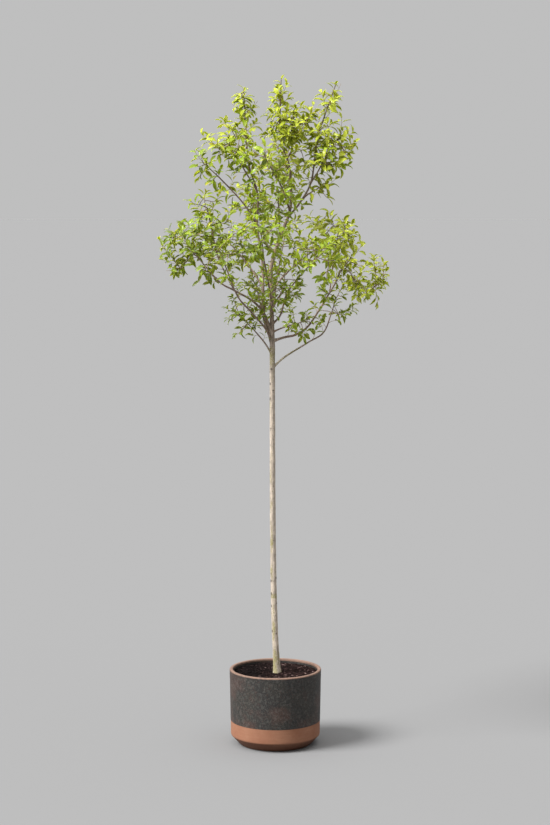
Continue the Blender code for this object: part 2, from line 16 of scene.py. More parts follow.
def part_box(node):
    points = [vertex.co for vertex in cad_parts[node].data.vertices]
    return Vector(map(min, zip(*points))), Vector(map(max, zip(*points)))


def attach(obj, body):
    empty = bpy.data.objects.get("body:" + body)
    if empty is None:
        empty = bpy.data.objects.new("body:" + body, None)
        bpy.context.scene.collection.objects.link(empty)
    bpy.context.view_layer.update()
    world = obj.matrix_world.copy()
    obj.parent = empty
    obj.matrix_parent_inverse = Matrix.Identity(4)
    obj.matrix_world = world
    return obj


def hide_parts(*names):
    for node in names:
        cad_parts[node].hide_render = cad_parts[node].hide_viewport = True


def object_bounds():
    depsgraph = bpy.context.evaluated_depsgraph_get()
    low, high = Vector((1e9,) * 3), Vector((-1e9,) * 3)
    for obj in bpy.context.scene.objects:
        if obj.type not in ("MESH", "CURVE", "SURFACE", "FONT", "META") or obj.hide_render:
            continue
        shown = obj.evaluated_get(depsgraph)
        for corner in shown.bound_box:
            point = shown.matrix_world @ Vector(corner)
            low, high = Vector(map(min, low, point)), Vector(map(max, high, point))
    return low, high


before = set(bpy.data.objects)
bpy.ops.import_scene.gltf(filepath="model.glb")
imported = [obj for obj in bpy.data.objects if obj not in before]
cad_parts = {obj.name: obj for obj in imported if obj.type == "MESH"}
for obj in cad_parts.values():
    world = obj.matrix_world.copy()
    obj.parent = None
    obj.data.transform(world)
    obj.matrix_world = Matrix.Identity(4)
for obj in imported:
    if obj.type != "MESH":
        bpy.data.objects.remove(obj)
cad_low, cad_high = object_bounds()


# Pot --------------------------------------------------------------------------------------
# A thick tub of red clay, thrown on a wheel, with straight sides, a rolled lip and a chamfered
# foot. A dark matt glaze is brushed on inside and out, and stops short of the lip and the foot.

pot_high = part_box("pot")[1]
POT_HEIGHT = pot_high.z
RIM_RADIUS = pot_high.x
BAND_HEIGHT = 0.190
BAND_RADIUS = 0.3585
CREASE_HEIGHT = 0.075
CREASE_RADIUS = 0.3566
FOOT_RADIUS = 0.285
POT_WALL = 0.028
POT_FLOOR = 0.036
LIP_ROUND = 0.011
LIP_BARE = 0.009
GLAZE_THICKNESS = 0.0009
THROWING_RELIEF = 0.0007
POT_SIDES = 144
RING_STEP = 0.009
POT_CREASE = math.radians(55)
SOFT_CREASE = math.radians(62)
CLAY_RED = (0.225, 0.088, 0.045, 1.0)
CLAY_PALE = (0.290, 0.138, 0.078, 1.0)
CLAY_DARK = (0.105, 0.038, 0.018, 1.0)
LIP_BROWN = (0.125, 0.074, 0.054, 1.0)
LIP_PALE = (0.215, 0.128, 0.090, 1.0)
GLAZE_BASE = (0.0125, 0.0116, 0.0110, 1.0)
GLAZE_OLIVE = (0.0205, 0.018, 0.0135, 1.0)
GLAZE_PALE = (0.175, 0.165, 0.148, 1.0)
GLAZE_RUST = (0.070, 0.030, 0.021, 1.0)
GLAZE_BLACK = (0.003, 0.003, 0.0035, 1.0)


def add_node(tree, kind, values=None, **settings):
    """A node in a tree, with its settings, and with its inputs set to values or linked to sockets."""
    made = tree.nodes.new(kind)
    for key, value in settings.items():
        setattr(made, key, value)
    for key, value in (values or {}).items():
        if isinstance(value, bpy.types.NodeSocket):
            tree.links.new(value, made.inputs[key])
        else:
            made.inputs[key].default_value = value
    return made


def blend(tree, share, low, high):
    """A colour between two others."""
    made = add_node(tree, "ShaderNodeMix", {0: share, 6: low, 7: high}, data_type="RGBA")
    return made.outputs[2]


def spread(tree, value, low, high, start=0.0, end=1.0):
    """A value stretched from one range to another, and held inside it."""
    made = add_node(tree, "ShaderNodeMapRange", {0: value, 1: low, 2: high, 3: start, 4: end})
    return made.outputs[0]


def new_group(name, values, results):
    """An empty shader group with number inputs and named outputs of a kind."""
    tree = bpy.data.node_groups.new(name, "ShaderNodeTree")
    tree.interface.new_socket("Place", in_out="INPUT", socket_type="NodeSocketVector")
    for socket in values:
        tree.interface.new_socket(socket, in_out="INPUT", socket_type="NodeSocketFloat")
    for socket in results:
        tree.interface.new_socket(socket, in_out="OUTPUT", socket_type="NodeSocketFloat")
    return tree, add_node(tree, "NodeGroupInput").outputs, add_node(tree, "NodeGroupOutput").inputs


def sums(tree, operation, *values, **settings):
    """The result of one step of arithmetic on values or sockets."""
    made = add_node(tree, "ShaderNodeMath", dict(enumerate(values)), operation=operation, **settings)
    return made.outputs[0]


def stretched(tree, place, factors):
    """A place stretched by its own factor along each axis."""
    return add_node(tree, "ShaderNodeVectorMath", {0: place, 1: factors}, operation="MULTIPLY").outputs[0]


def cloudy(tree, place, scale, detail, roughness=0.5):
    """Soft noise at a place."""
    given = {"Vector": place, "Scale": scale, "Detail": detail, "Roughness": roughness}
    return add_node(tree, "ShaderNodeTexNoise", given).outputs[0]


def use_group(tree, group, place, **values):
    """The results of a shader group at a place, with its own values."""
    return add_node(tree, "ShaderNodeGroup", {"Place": place, **values}, node_tree=group).outputs


def new_finish(name):
    """A material, its node tree and the place on the piece in metres."""
    made = bpy.data.materials.new(name)
    made.use_nodes = True
    return made, made.node_tree, add_node(made.node_tree, "ShaderNodeTexCoord").outputs["Object"]


def painted(tree, colour, layers):
    """A colour with paints laid over it, each by a value stretched to a share of cover."""
    for value, low, high, start, end, paint in layers:
        colour = blend(tree, spread(tree, value, low, high, start, end), colour, paint)
    return colour


def finished(made, colour, roughness, grain, distance, strength, fixed=()):
    """A material with its colour, its roughness, relief too fine for the mesh, and fixed values."""
    tree = made.node_tree
    shader = tree.nodes["Principled BSDF"]
    bump = add_node(tree, "ShaderNodeBump", {"Height": grain, "Distance": distance, "Strength": strength})
    for name, socket in (("Base Color", colour), ("Roughness", roughness), ("Normal", bump.outputs[0])):
        tree.links.new(socket, shader.inputs[name])
    for name, value in fixed:
        shader.inputs[name].default_value = value
    return made


# Mottling: soft clouds at one size, with finer clouds inside them
mottling, given, puts = new_group("mottling", ["Scale", "Contrast"], ["Cloud", "Fine"])
finer = sums(mottling, "MULTIPLY", given["Scale"], 6.0)
for result, scale, detail in (("Cloud", given["Scale"], 3.0), ("Fine", finer, 2.0)):
    centred = sums(mottling, "SUBTRACT", cloudy(mottling, given["Place"], scale, detail), 0.5)
    sharper = sums(mottling, "MULTIPLY_ADD", centred, given["Contrast"], 0.5, use_clamp=True)
    mottling.links.new(sharper, puts[result])

# Specks: small round spots, each of its own size, in a share of the cells they could fill
specks, given, puts = new_group("specks", ["Scale", "Size", "Share"], ["Spot"])
cells = add_node(specks, "ShaderNodeTexVoronoi", {"Vector": given["Place"], "Scale": given["Scale"]}).outputs
lot = add_node(specks, "ShaderNodeSeparateColor", {0: cells["Color"]}).outputs[0]
inside = sums(specks, "LESS_THAN", cells["Distance"], given["Size"])
chosen = sums(specks, "LESS_THAN", lot, given["Share"])
specks.links.new(sums(specks, "MULTIPLY", inside, chosen), puts["Spot"])


def clay_finish():
    """Bare red clay with streaks from the wheel and grit: painted shade darkens the chamfered foot, which
    faces down, and the lip is browner.
    """
    made, tree, place = new_finish("red_clay")
    height = add_node(tree, "ShaderNodeSeparateXYZ", {0: place}).outputs[2]
    clouds = use_group(tree, mottling, place, Scale=7.0, Contrast=2.2)
    rings = cloudy(tree, stretched(tree, place, (6.0, 6.0, 160.0)), 1.0, 2.0)
    pale_grit = use_group(tree, specks, place, Scale=420.0, Size=0.30, Share=0.20)
    dark_grit = use_group(tree, specks, place, Scale=300.0, Size=0.26, Share=0.12)
    colour = painted(tree, blend(tree, clouds["Cloud"], CLAY_RED, CLAY_PALE), (
        (rings, 0.35, 0.75, 0.0, 0.55, CLAY_RED),
        (pale_grit["Spot"], 0.0, 1.0, 0.0, 0.5, CLAY_PALE),
        (dark_grit["Spot"], 0.0, 1.0, 0.0, 0.6, CLAY_DARK),
        # Painted shade: below the crease the chamfered foot, which faces down, is darkened towards CLAY_DARK
        (height, CREASE_HEIGHT - 0.012, CREASE_HEIGHT + 0.004, 0.7, 0.0, CLAY_DARK),
        (height, 0.30, 0.40, 0.0, 1.0, blend(tree, clouds["Fine"], LIP_BROWN, LIP_PALE)),
    ))
    roughness = spread(tree, clouds["Fine"], 0.0, 1.0, 0.72, 0.92)
    return finished(made, colour, roughness, clouds["Fine"], 0.0006, 0.5)


def glaze_finish():
    """Dark matt glaze with pale, rusty and black spots, and olive clouds."""
    made, tree, place = new_finish("dark_glaze")
    clouds = use_group(tree, mottling, place, Scale=6.0, Contrast=3.0)
    wear = use_group(tree, mottling, place, Scale=45.0, Contrast=4.5)
    iron = use_group(tree, mottling, place, Scale=5.0, Contrast=4.5)
    layers = [
        (iron["Cloud"], 0.55, 1.0, 0.0, 0.45, GLAZE_RUST),
        (wear["Cloud"], 0.6, 1.0, 0.0, 0.16, GLAZE_PALE),
    ]
    for scale, size, share, cover, paint in (
            (150.0, 0.46, 0.45, 0.80, GLAZE_BLACK), (130.0, 0.34, 0.30, 0.28, GLAZE_PALE),
            (300.0, 0.40, 0.36, 0.32, GLAZE_PALE), (110.0, 0.36, 0.20, 0.70, GLAZE_RUST)):
        spots = use_group(tree, specks, place, Scale=scale, Size=size, Share=share)
        layers.append((spots["Spot"], 0.0, 1.0, 0.0, cover, paint))
    colour = painted(tree, blend(tree, clouds["Cloud"], GLAZE_BASE, GLAZE_OLIVE), layers)
    roughness = spread(tree, wear["Fine"], 0.0, 1.0, 0.50, 0.74)
    return finished(made, colour, roughness, wear["Fine"], 0.0006, 0.6)


def bent(handles, t):
    """The place at a share of a bend that starts at the first handle and ends at the last."""
    while len(handles) > 1:
        handles = [start.lerp(end, t) for start, end in zip(handles, handles[1:])]
    return handles[0]


def eased_line(corners, steps=6):
    """A line through (radius, height, ease) corners, each rounded over its own ease."""
    line = [Vector(corners[0][:2])]
    for before, corner, after in zip(corners, corners[1:], corners[2:]):
        middle = Vector(corner[:2])
        start, end = (middle + (Vector(other[:2]) - middle).normalized() * corner[2]
                      for other in (before, after))
        line += [bent([start, middle, end], i / steps) for i in range(steps + 1)]
    line.append(Vector(corners[-1][:2]))
    return line


def divided(line, step):
    """The same line with its long stretches divided evenly."""
    points = [line[0]]
    for start, end in zip(line, line[1:]):
        count = max(1, round((end - start).length / step))
        points += [start.lerp(end, i / count) for i in range(1, count + 1)]
    return points


def pot_radius(height):
    """The outer wall widens slightly from the bare band to the rim."""
    share = (height - BAND_HEIGHT) / (POT_HEIGHT - BAND_HEIGHT)
    return BAND_RADIUS + (RIM_RADIUS - BAND_RADIUS) * share


def wheel_relief(angle, height):
    """Low rings and soft waves that the potter's hands leave."""
    place = Vector((math.cos(angle) * 0.9, math.sin(angle) * 0.9, height * 55.0))
    slow = Vector((math.cos(angle) * 1.6, math.sin(angle) * 1.6, height * 4.0))
    return THROWING_RELIEF * (0.45 * noise.noise(place) + 0.55 * noise.noise(slow) - 1.0)


def ring_faces(rings, sides):
    """The faces of a closed skin over rings of points, which two more points close at its ends."""
    foot = rings * sides
    last = foot - sides
    faces = []
    for i in range(sides):
        beside = (i + 1) % sides
        faces += [(foot, beside, i), (foot + 1, last + i, last + beside)]
        for low in range(0, last, sides):
            high = low + sides
            faces.append((low + i, low + beside, high + beside, high + i))
    return faces


def turned(line, sides, place):
    """Points and faces of a closed skin turned about the axis, from its foot to its head."""
    points = [place(ring, math.tau * i / sides) for ring in line[1:-1] for i in range(sides)]
    points += [place(line[0], 0.0), place(line[-1], 0.0)]
    return points, ring_faces(len(line) - 2, sides)


def add_object(name, data):
    """A thing in the scene, from its mesh, light or camera."""
    made = bpy.data.objects.new(name, data)
    bpy.context.scene.collection.objects.link(made)
    return made


def add_piece(name, points, faces, finishes, kinds=None, crease=SOFT_CREASE):
    """A smooth piece from points and faces, with one finish or several, and sharp at a crease."""
    mesh = bpy.data.meshes.new(name)
    mesh.from_pydata(points, [], faces)
    for finish in finishes:
        mesh.materials.append(finish)
    if kinds:
        mesh.polygons.foreach_set("material_index", kinds)
    mesh.shade_smooth()
    mesh.set_sharp_from_angle(angle=crease)
    return add_object(name, mesh)


def pot_point(ring, angle):
    """A point on the pot, whose skin the wheel has left uneven."""
    radius = ring.x + (wheel_relief(angle, ring.y) if ring.x else 0.0)
    return radius * math.cos(angle), radius * math.sin(angle), ring.y


lip_inside = RIM_RADIUS - POT_WALL
lip_foot = POT_HEIGHT - LIP_ROUND * 1.6
bare_top = POT_HEIGHT - LIP_BARE
floor_radius = pot_radius(POT_FLOOR) - POT_WALL
pot_line = divided(eased_line([
    (0.0, 0.0, 0.0),
    (FOOT_RADIUS, 0.0, 0.006),
    (CREASE_RADIUS, CREASE_HEIGHT, 0.009),
    (BAND_RADIUS - GLAZE_THICKNESS, BAND_HEIGHT, 0.0004),
    (pot_radius(BAND_HEIGHT + GLAZE_THICKNESS), BAND_HEIGHT + GLAZE_THICKNESS, 0.0004),
    (pot_radius(bare_top), bare_top, 0.0004),
    (pot_radius(bare_top) - GLAZE_THICKNESS, bare_top + GLAZE_THICKNESS, 0.0004),
    (RIM_RADIUS, POT_HEIGHT, LIP_ROUND),
    (lip_inside, POT_HEIGHT, LIP_ROUND),
    (lip_inside, lip_foot, 0.002),
    (floor_radius, POT_FLOOR, 0.040),
    (0.0, POT_FLOOR, 0.0),
]), RING_STEP)


def pot_kind(start, end):
    """0 for bare clay and 1 for glaze, from where a span of the line lies."""
    height = (start.y + end.y) / 2
    if end.y > start.y + 1e-6:
        return int(BAND_HEIGHT < height < bare_top)
    return int(POT_FLOOR * 0.5 < height < lip_foot)


spans = list(zip(pot_line, pot_line[1:]))
pot_kinds = [pot_kind(*span) for span in [spans[0], spans[-1]] + spans[1:-1]] * POT_SIDES
pot_finishes = [clay_finish(), glaze_finish()]
pot = add_piece("thrown_pot", *turned(pot_line, POT_SIDES, pot_point), pot_finishes, pot_kinds, POT_CREASE)
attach(pot, "root")
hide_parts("pot")


# Compost ----------------------------------------------------------------------------------
# A bed of dark compost filled to a little below the lip: fine crumbs of peat and soil, with
# flakes of bark mulch lying over them, thicker here and there.

SOIL_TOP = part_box("soil")[1].z
BED_SIDES = 120
BED_STEP = 0.008
BED_ROUGHNESS = 0.0035
BED_DEPTH = 0.04
BED_GAP = 0.0015
CRUMBS = 2200
FLAKES = 1100
PALE_FLAKES = 110
CRUMB_SIZE = (0.003, 0.009)
FLAKE_SIZE = (0.010, 0.026)
FLAKE_THICKNESS = 0.0045
STEM_CLEARANCE = 0.045
COMPOST_BLACK = (0.0035, 0.0022, 0.0022, 1.0)
COMPOST_BROWN = (0.011, 0.006, 0.005, 1.0)
MULCH_DARK = (0.012, 0.007, 0.007, 1.0)
MULCH_BROWN = (0.034, 0.018, 0.016, 1.0)
MULCH_PALE = (0.190, 0.130, 0.118, 1.0)
MULCH_PINK = (0.090, 0.054, 0.048, 1.0)
compost_random = random.Random("compost")


def earth_finish(name, dark, pale, size):
    """Matt earth or bark mulch, clouded between a dark and a pale colour, with painted shadow of the pot's
    wall darkening it on the left.
    """
    made, tree, place = new_finish(name)
    across = add_node(tree, "ShaderNodeSeparateXYZ", {0: place}).outputs[0]
    clouds = use_group(tree, mottling, place, Scale=size, Contrast=3.0)
    grit = use_group(tree, specks, place, Scale=size * 8.0, Size=0.35, Share=0.2)
    colour = painted(tree, blend(tree, clouds["Cloud"], dark, pale), (
        (grit["Spot"], 0.0, 1.0, 0.0, 0.5, pale),
        # Painted shadow: the left of the bed, which the pot's left wall shades, is darkened towards
        # COMPOST_BLACK
        (across, -0.16, 0.10, 0.85, 0.0, COMPOST_BLACK),
    ))
    roughness = spread(tree, clouds["Fine"], 0.0, 1.0, 0.82, 1.0)
    return finished(made, colour, roughness, clouds["Fine"], 0.001, 0.8, (("Specular IOR Level", 0.06),))


def bed_height(x, y):
    """Height of the compost, which is uneven at two sizes."""
    broad = noise.noise(Vector((x * 14.0, y * 14.0, 0.3)))
    small = noise.noise(Vector((x * 60.0, y * 60.0, 4.0)))
    return SOIL_TOP - BED_ROUGHNESS + BED_ROUGHNESS * (broad + 0.7 * small)


def bed_point(ring, angle):
    """A point of the bed, on its uneven top or its flat underside."""
    x, y = ring[0] * math.cos(angle), ring[0] * math.sin(angle)
    return x, y, bed_height(x, y) if ring[1] else SOIL_TOP - BED_DEPTH


def lump_pattern():
    """The twelve corners and twenty faces of a lump."""
    tall = (1 + math.sqrt(5)) / 2
    corners = []
    for a in (-1.0, 1.0):
        for b in (-tall, tall):
            corners += [(a, b, 0.0), (0.0, a, b), (b, 0.0, a)]
    corners = [Vector(corner).normalized() for corner in corners]
    edge = min((corner - corners[0]).length for corner in corners[1:]) * 1.05
    faces = []
    for i, a in enumerate(corners):
        for j in range(i + 1, len(corners)):
            for k in range(j + 1, len(corners)):
                b, c = corners[j], corners[k]
                if (a - b).length < edge and (b - c).length < edge and (a - c).length < edge:
                    outward = (b - a).cross(c - a).dot(a) > 0
                    faces.append((i, j, k) if outward else (i, k, j))
    return corners, faces


def joined(parts):
    """Points and faces of many parts as those of one."""
    points = []
    faces = []
    for part_points, part_faces in parts:
        first = len(points)
        points += part_points
        faces += [tuple(first + i for i in face) for face in part_faces]
    return points, faces


def strewn_lumps(count, sizes, thickness, edge, tilt):
    """Crumbs or flakes strewn over the bed, each of its own shape and lie."""
    corners, pattern = lump_pattern()
    lumps = []
    for _ in range(count):
        reach = math.sqrt(compost_random.uniform((STEM_CLEARANCE / edge) ** 2, 1.0)) * edge
        angle = compost_random.uniform(0.0, math.tau)
        x, y = reach * math.cos(angle), reach * math.sin(angle)
        size = compost_random.uniform(*sizes)
        flat = thickness or size * compost_random.uniform(0.6, 1.0)
        shape = Matrix.Diagonal((size, size * compost_random.uniform(0.35, 0.9), flat)).to_4x4()
        lie = Matrix.Rotation(compost_random.uniform(0.0, math.tau), 4, "Z")
        lean = Matrix.Rotation(compost_random.uniform(-tilt, tilt), 4, "X")
        place = Matrix.Translation((x, y, bed_height(x, y) + flat * 0.4)) @ lie @ lean @ shape
        lumps.append(([place @ (corner * compost_random.uniform(0.45, 0.62)) for corner in corners], pattern))
    return joined(lumps)


bed_edge = pot_radius(SOIL_TOP) - POT_WALL - BED_GAP
steps = round(bed_edge / BED_STEP)
bed_rings = [(0.0, False), (bed_edge, False)] + [(bed_edge * j / steps, True) for j in range(steps, -1, -1)]
bed_points, bed_faces = turned(bed_rings, BED_SIDES, bed_point)
# Each face starts at its next corner, which sets the way that it folds between two rings
bed_faces = [face[1:] + face[:1] for face in bed_faces]
bed = add_piece("compost_bed", bed_points, bed_faces,
                [earth_finish("peat", COMPOST_BLACK, COMPOST_BROWN, 60.0)])
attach(bed, "root")
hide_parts("soil")

# What lies loose on the bed: its lumps, its margin from the wall, its tilt and its finish
for name, lumps, margin, tilt, finish in (
        ("compost_crumbs", (CRUMBS, CRUMB_SIZE, None), 0.006, 1.2,
         ("crumbs", COMPOST_BLACK, MULCH_BROWN, 90.0)),
        ("bark_mulch", (FLAKES, FLAKE_SIZE, FLAKE_THICKNESS), 0.016, 0.7,
         ("mulch", MULCH_DARK, MULCH_BROWN, 70.0)),
        ("pale_mulch", (PALE_FLAKES, FLAKE_SIZE, FLAKE_THICKNESS), 0.016, 0.9,
         ("dry_mulch", MULCH_PINK, MULCH_PALE, 90.0))):
    strewn = add_piece(name, *strewn_lumps(*lumps, bed_edge - margin, tilt), [earth_finish(*finish)])
    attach(strewn, "root")


# Trunk, leaders and boughs ----------------------------------------------------------------
# The clear stem forks into three leaders, which throw boughs to all sides. Bark is thin and
# smooth: grey-beige on old wood, with scars of pruned shoots and lichen, and brown on young.
# Knots are given by their height above the floor and their turn from the right, in degrees.

FORK_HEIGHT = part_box("trunk")[1].z
TRUNK_FOOT_X = 0.014
TRUNK_LEAN = 0.038
TRUNK_LEAN_HEIGHT = 0.55
TRUNK_SWAY = 0.012
TRUNK_TOP_RADIUS = 0.0205
TRUNK_TAPER = 0.0055
TRUNK_TAPER_HEIGHT = 1.1
TRUNK_FLARE = 0.009
TRUNK_FLARE_HEIGHT = 0.06
FOOT_SUNK = 0.012
LIMB_TIP_RADIUS = 0.0052
LIMB_TAPER_POWER = 0.8
FORK_SHARE = 0.75
COLLAR_SWELL = 0.5
COLLAR_REACH = 0.020
NO_COLLAR = -1.0
TRUNK_STEP = 0.012
BOUGH_STEP = 0.020
TRUNK_SIDES = 24
BOUGH_SIDES = 12
BARK_RELIEF = 0.045
SCARS = 26
SCAR_SIZE = (0.005, 0.009)
SCAR_LOWEST = 0.12
SCAR_ENDS = 0.20
SCAR_RISE = 0.3
SCAR_DRIFT = 0.4
KNOTS = ((0.905, 208), (1.107, 202), (1.208, 212), (1.309, 204), (1.335, 338), (2.765, 205),
         (2.884, 214), (3.00, 248))
KNOT_SIZE = 0.013
SCAR_HEIGHT = 0.0026
LICHEN_BAND = 1.19
LICHEN_BAND_WIDTH = 0.016
LICHEN_FOOT = 0.22
LICHEN_FORK = 0.20
YOUNG_HEIGHT = 3.05
YOUNG_SPAN = 0.45
YOUNG_MOST = 0.85
THIN_WOOD = (0.009, 0.0185)
BARK_PALE = (0.650, 0.550, 0.445, 1.0)
BARK_GREY = (0.330, 0.278, 0.222, 1.0)
BARK_DARK = (0.060, 0.044, 0.034, 1.0)
BARK_LICHEN = (0.225, 0.205, 0.055, 1.0)
BARK_YOUNG = (0.150, 0.098, 0.070, 1.0)
BARK_YOUNG_PALE = (0.370, 0.262, 0.192, 1.0)
BARK_MARKS = ("youth", "scar", "lichen")
GOLDEN_ANGLE = math.pi * (3 - math.sqrt(5))

# Masses of foliage: name, centre and half-widths of the space that each keeps to, how full
# of leaves it is, and how light they are. That lightness is mostly painted light and shade,
# lighter high up and darker low down and inside, and partly the paler new growth.
MASSES = (
    ("left_outer", (-0.67, -0.05, 3.96), (0.26, 0.27, 0.29), 0.69, -0.42),
    ("left_upper", (-0.53, 0.08, 4.24), (0.26, 0.25, 0.17), 0.18, -0.09),
    ("left_front", (-0.41, -0.36, 3.90), (0.21, 0.24, 0.21), 0.08, -0.22),
    ("left_back", (-0.38, 0.42, 4.00), (0.24, 0.25, 0.26), 0.17, -0.45),
    ("left_low", (-0.25, -0.03, 3.40), (0.17, 0.22, 0.27), 0.09, -0.40),
    ("front", (-0.10, -0.52, 4.05), (0.24, 0.25, 0.24), 0.40, -0.22),
    ("front_low", (0.07, -0.34, 3.67), (0.23, 0.24, 0.21), 0.08, -0.45),
    ("back", (0.07, 0.60, 4.00), (0.28, 0.25, 0.28), 0.10, -0.09),
    ("back_low", (-0.15, 0.33, 3.62), (0.24, 0.24, 0.22), 0.08, -0.45),
    ("right_front", (0.31, -0.40, 3.88), (0.23, 0.25, 0.24), 0.22, -0.09),
    ("right_back", (0.41, 0.40, 3.99), (0.26, 0.26, 0.26), 0.08, 0.42),
    ("right_top", (0.49, 0.02, 4.06), (0.22, 0.24, 0.20), 0.38, 0.42),
    ("right_outer", (0.68, -0.06, 3.73), (0.22, 0.26, 0.28), 0.81, 0.40),
    ("right_low", (0.46, 0.10, 3.52), (0.24, 0.25, 0.21), 0.09, -0.44),
    ("right_inner", (0.21, -0.12, 3.38), (0.20, 0.22, 0.17), 0.08, -0.10),
    ("waist_left", (-0.53, 0.02, 4.59), (0.18, 0.20, 0.16), 0.19, -0.13),
    ("upper_left", (-0.35, -0.05, 4.74), (0.23, 0.25, 0.27), 0.52, 0.11),
    ("upper_front", (-0.07, -0.34, 4.63), (0.25, 0.23, 0.25), 0.11, -0.19),
    ("upper_back", (0.07, 0.36, 4.65), (0.27, 0.25, 0.29), 0.18, 0.33),
    ("upper_right", (0.43, 0.00, 4.74), (0.22, 0.25, 0.27), 0.73, 0.28),
    ("waist_right", (0.36, 0.04, 4.42), (0.13, 0.20, 0.14), 0.15, 0.28),
    ("middle_front", (0.02, -0.30, 4.34), (0.20, 0.22, 0.18), 0.21, -0.26),
    ("middle_back", (-0.17, 0.32, 4.31), (0.23, 0.24, 0.22), 0.24, 0.05),
    ("upper_top", (0.12, 0.00, 4.92), (0.26, 0.26, 0.19), 0.90, 0.62),
    ("top", (0.04, 0.00, 5.14), (0.10, 0.12, 0.15), 1.00, 0.54),
    ("top_left", (-0.24, -0.02, 5.06), (0.11, 0.14, 0.16), 1.00, 0.09),
    ("top_right", (0.43, 0.02, 5.11), (0.11, 0.14, 0.15), 1.00, 0.46),
)

# Limbs: name, what carries it, height where it leaves, foot radius, the bends it passes
# through, and the mass that it ends in
LIMBS = (
    ("main_leader", "trunk", FORK_HEIGHT, TRUNK_TOP_RADIUS,
     ((-0.03, 0.00, 3.54), (-0.03, 0.00, 3.82), (0.06, 0.00, 4.09), (0.12, 0.00, 4.28),
      (0.11, 0.00, 4.57), (0.04, 0.00, 4.80)), "top"),
    ("left_leader", "main_leader", 3.21, 0.0145,
     ((-0.09, 0.03, 3.42), (-0.10, 0.04, 3.81), (-0.14, 0.02, 4.10), (-0.14, 0.00, 4.37),
      (-0.21, 0.00, 4.62)), "top_left"),
    ("right_leader", "main_leader", 4.19, 0.0105,
     ((0.19, -0.01, 4.30), (0.28, 0.00, 4.47), (0.33, 0.01, 4.80)), "top_right"),
    ("left_outer_bough", "main_leader", 3.28, 0.0115,
     ((-0.09, -0.04, 3.44), (-0.18, -0.06, 3.54), (-0.32, -0.06, 3.62), (-0.45, -0.05, 3.70)),
     "left_outer"),
    ("left_upper_bough", "left_outer_bough", 3.62, 0.0085,
     ((-0.39, -0.02, 3.75), (-0.46, 0.04, 3.92)), "left_upper"),
    ("left_front_bough", "main_leader", 3.23, 0.0085,
     ((-0.09, -0.08, 3.34), (-0.19, -0.16, 3.46), (-0.30, -0.25, 3.60)), "left_front"),
    ("left_back_bough", "left_leader", 3.64, 0.0075, ((-0.20, 0.19, 3.79),), "left_back"),
    ("left_low_bough", "trunk", 3.11, 0.0075, ((-0.10, -0.03, 3.23),), "left_low"),
    ("front_bough", "main_leader", 3.53, 0.0080,
     ((-0.06, -0.18, 3.72), (-0.09, -0.34, 3.89)), "front"),
    ("front_low_bough", "main_leader", 3.42, 0.0080, ((-0.01, -0.12, 3.50),), "front_low"),
    ("back_bough", "main_leader", 3.44, 0.0085,
     ((0.00, 0.20, 3.62), (0.03, 0.40, 3.80)), "back"),
    ("back_low_bough", "left_leader", 3.37, 0.0080, ((-0.11, 0.16, 3.47),), "back_low"),
    ("right_front_bough", "main_leader", 3.35, 0.0080,
     ((0.04, -0.04, 3.43), (0.09, -0.12, 3.60), (0.19, -0.26, 3.74)), "right_front"),
    ("right_back_bough", "main_leader", 3.60, 0.0080,
     ((0.06, 0.12, 3.72), (0.22, 0.28, 3.86)), "right_back"),
    ("right_outer_bough", "main_leader", 3.22, 0.0105,
     ((0.07, 0.00, 3.25), (0.16, 0.01, 3.27), (0.26, 0.01, 3.34), (0.37, 0.00, 3.51),
      (0.46, -0.02, 3.66), (0.54, -0.04, 3.80)), "right_outer"),
    ("right_top_bough", "right_outer_bough", 3.60, 0.0075, ((0.45, 0.04, 3.80),), "right_top"),
    ("right_low_bough", "trunk", 3.01, 0.0085,
     ((0.08, 0.00, 3.10), (0.26, 0.02, 3.21), (0.39, 0.05, 3.30)), "right_low"),
    ("right_inner_bough", "main_leader", 3.29, 0.0075, ((0.06, -0.06, 3.33),), "right_inner"),
    ("waist_left_bough", "left_leader", 4.13, 0.0080, ((-0.27, 0.03, 4.32),), "waist_left"),
    ("upper_left_bough", "left_leader", 4.40, 0.0080, ((-0.22, -0.04, 4.52),), "upper_left"),
    ("upper_front_bough", "main_leader", 4.24, 0.0085, ((0.04, -0.15, 4.44),), "upper_front"),
    ("upper_back_bough", "main_leader", 4.34, 0.0085, ((0.10, 0.15, 4.47),), "upper_back"),
    ("upper_right_bough", "right_leader", 4.45, 0.0080, ((0.34, -0.03, 4.56),), "upper_right"),
    ("waist_right_bough", "right_leader", 4.32, 0.0072, ((0.26, 0.02, 4.37),), "waist_right"),
    ("middle_front_bough", "main_leader", 4.02, 0.0080, ((0.03, -0.12, 4.16),), "middle_front"),
    ("middle_back_bough", "left_leader", 4.00, 0.0080, ((-0.15, 0.13, 4.13),), "middle_back"),
    ("upper_top_bough", "main_leader", 4.64, 0.0072, ((0.13, 0.01, 4.73),), "upper_top"),
)

ENTRY_DEPTH = 0.74
SPACE_EDGE = 1.06


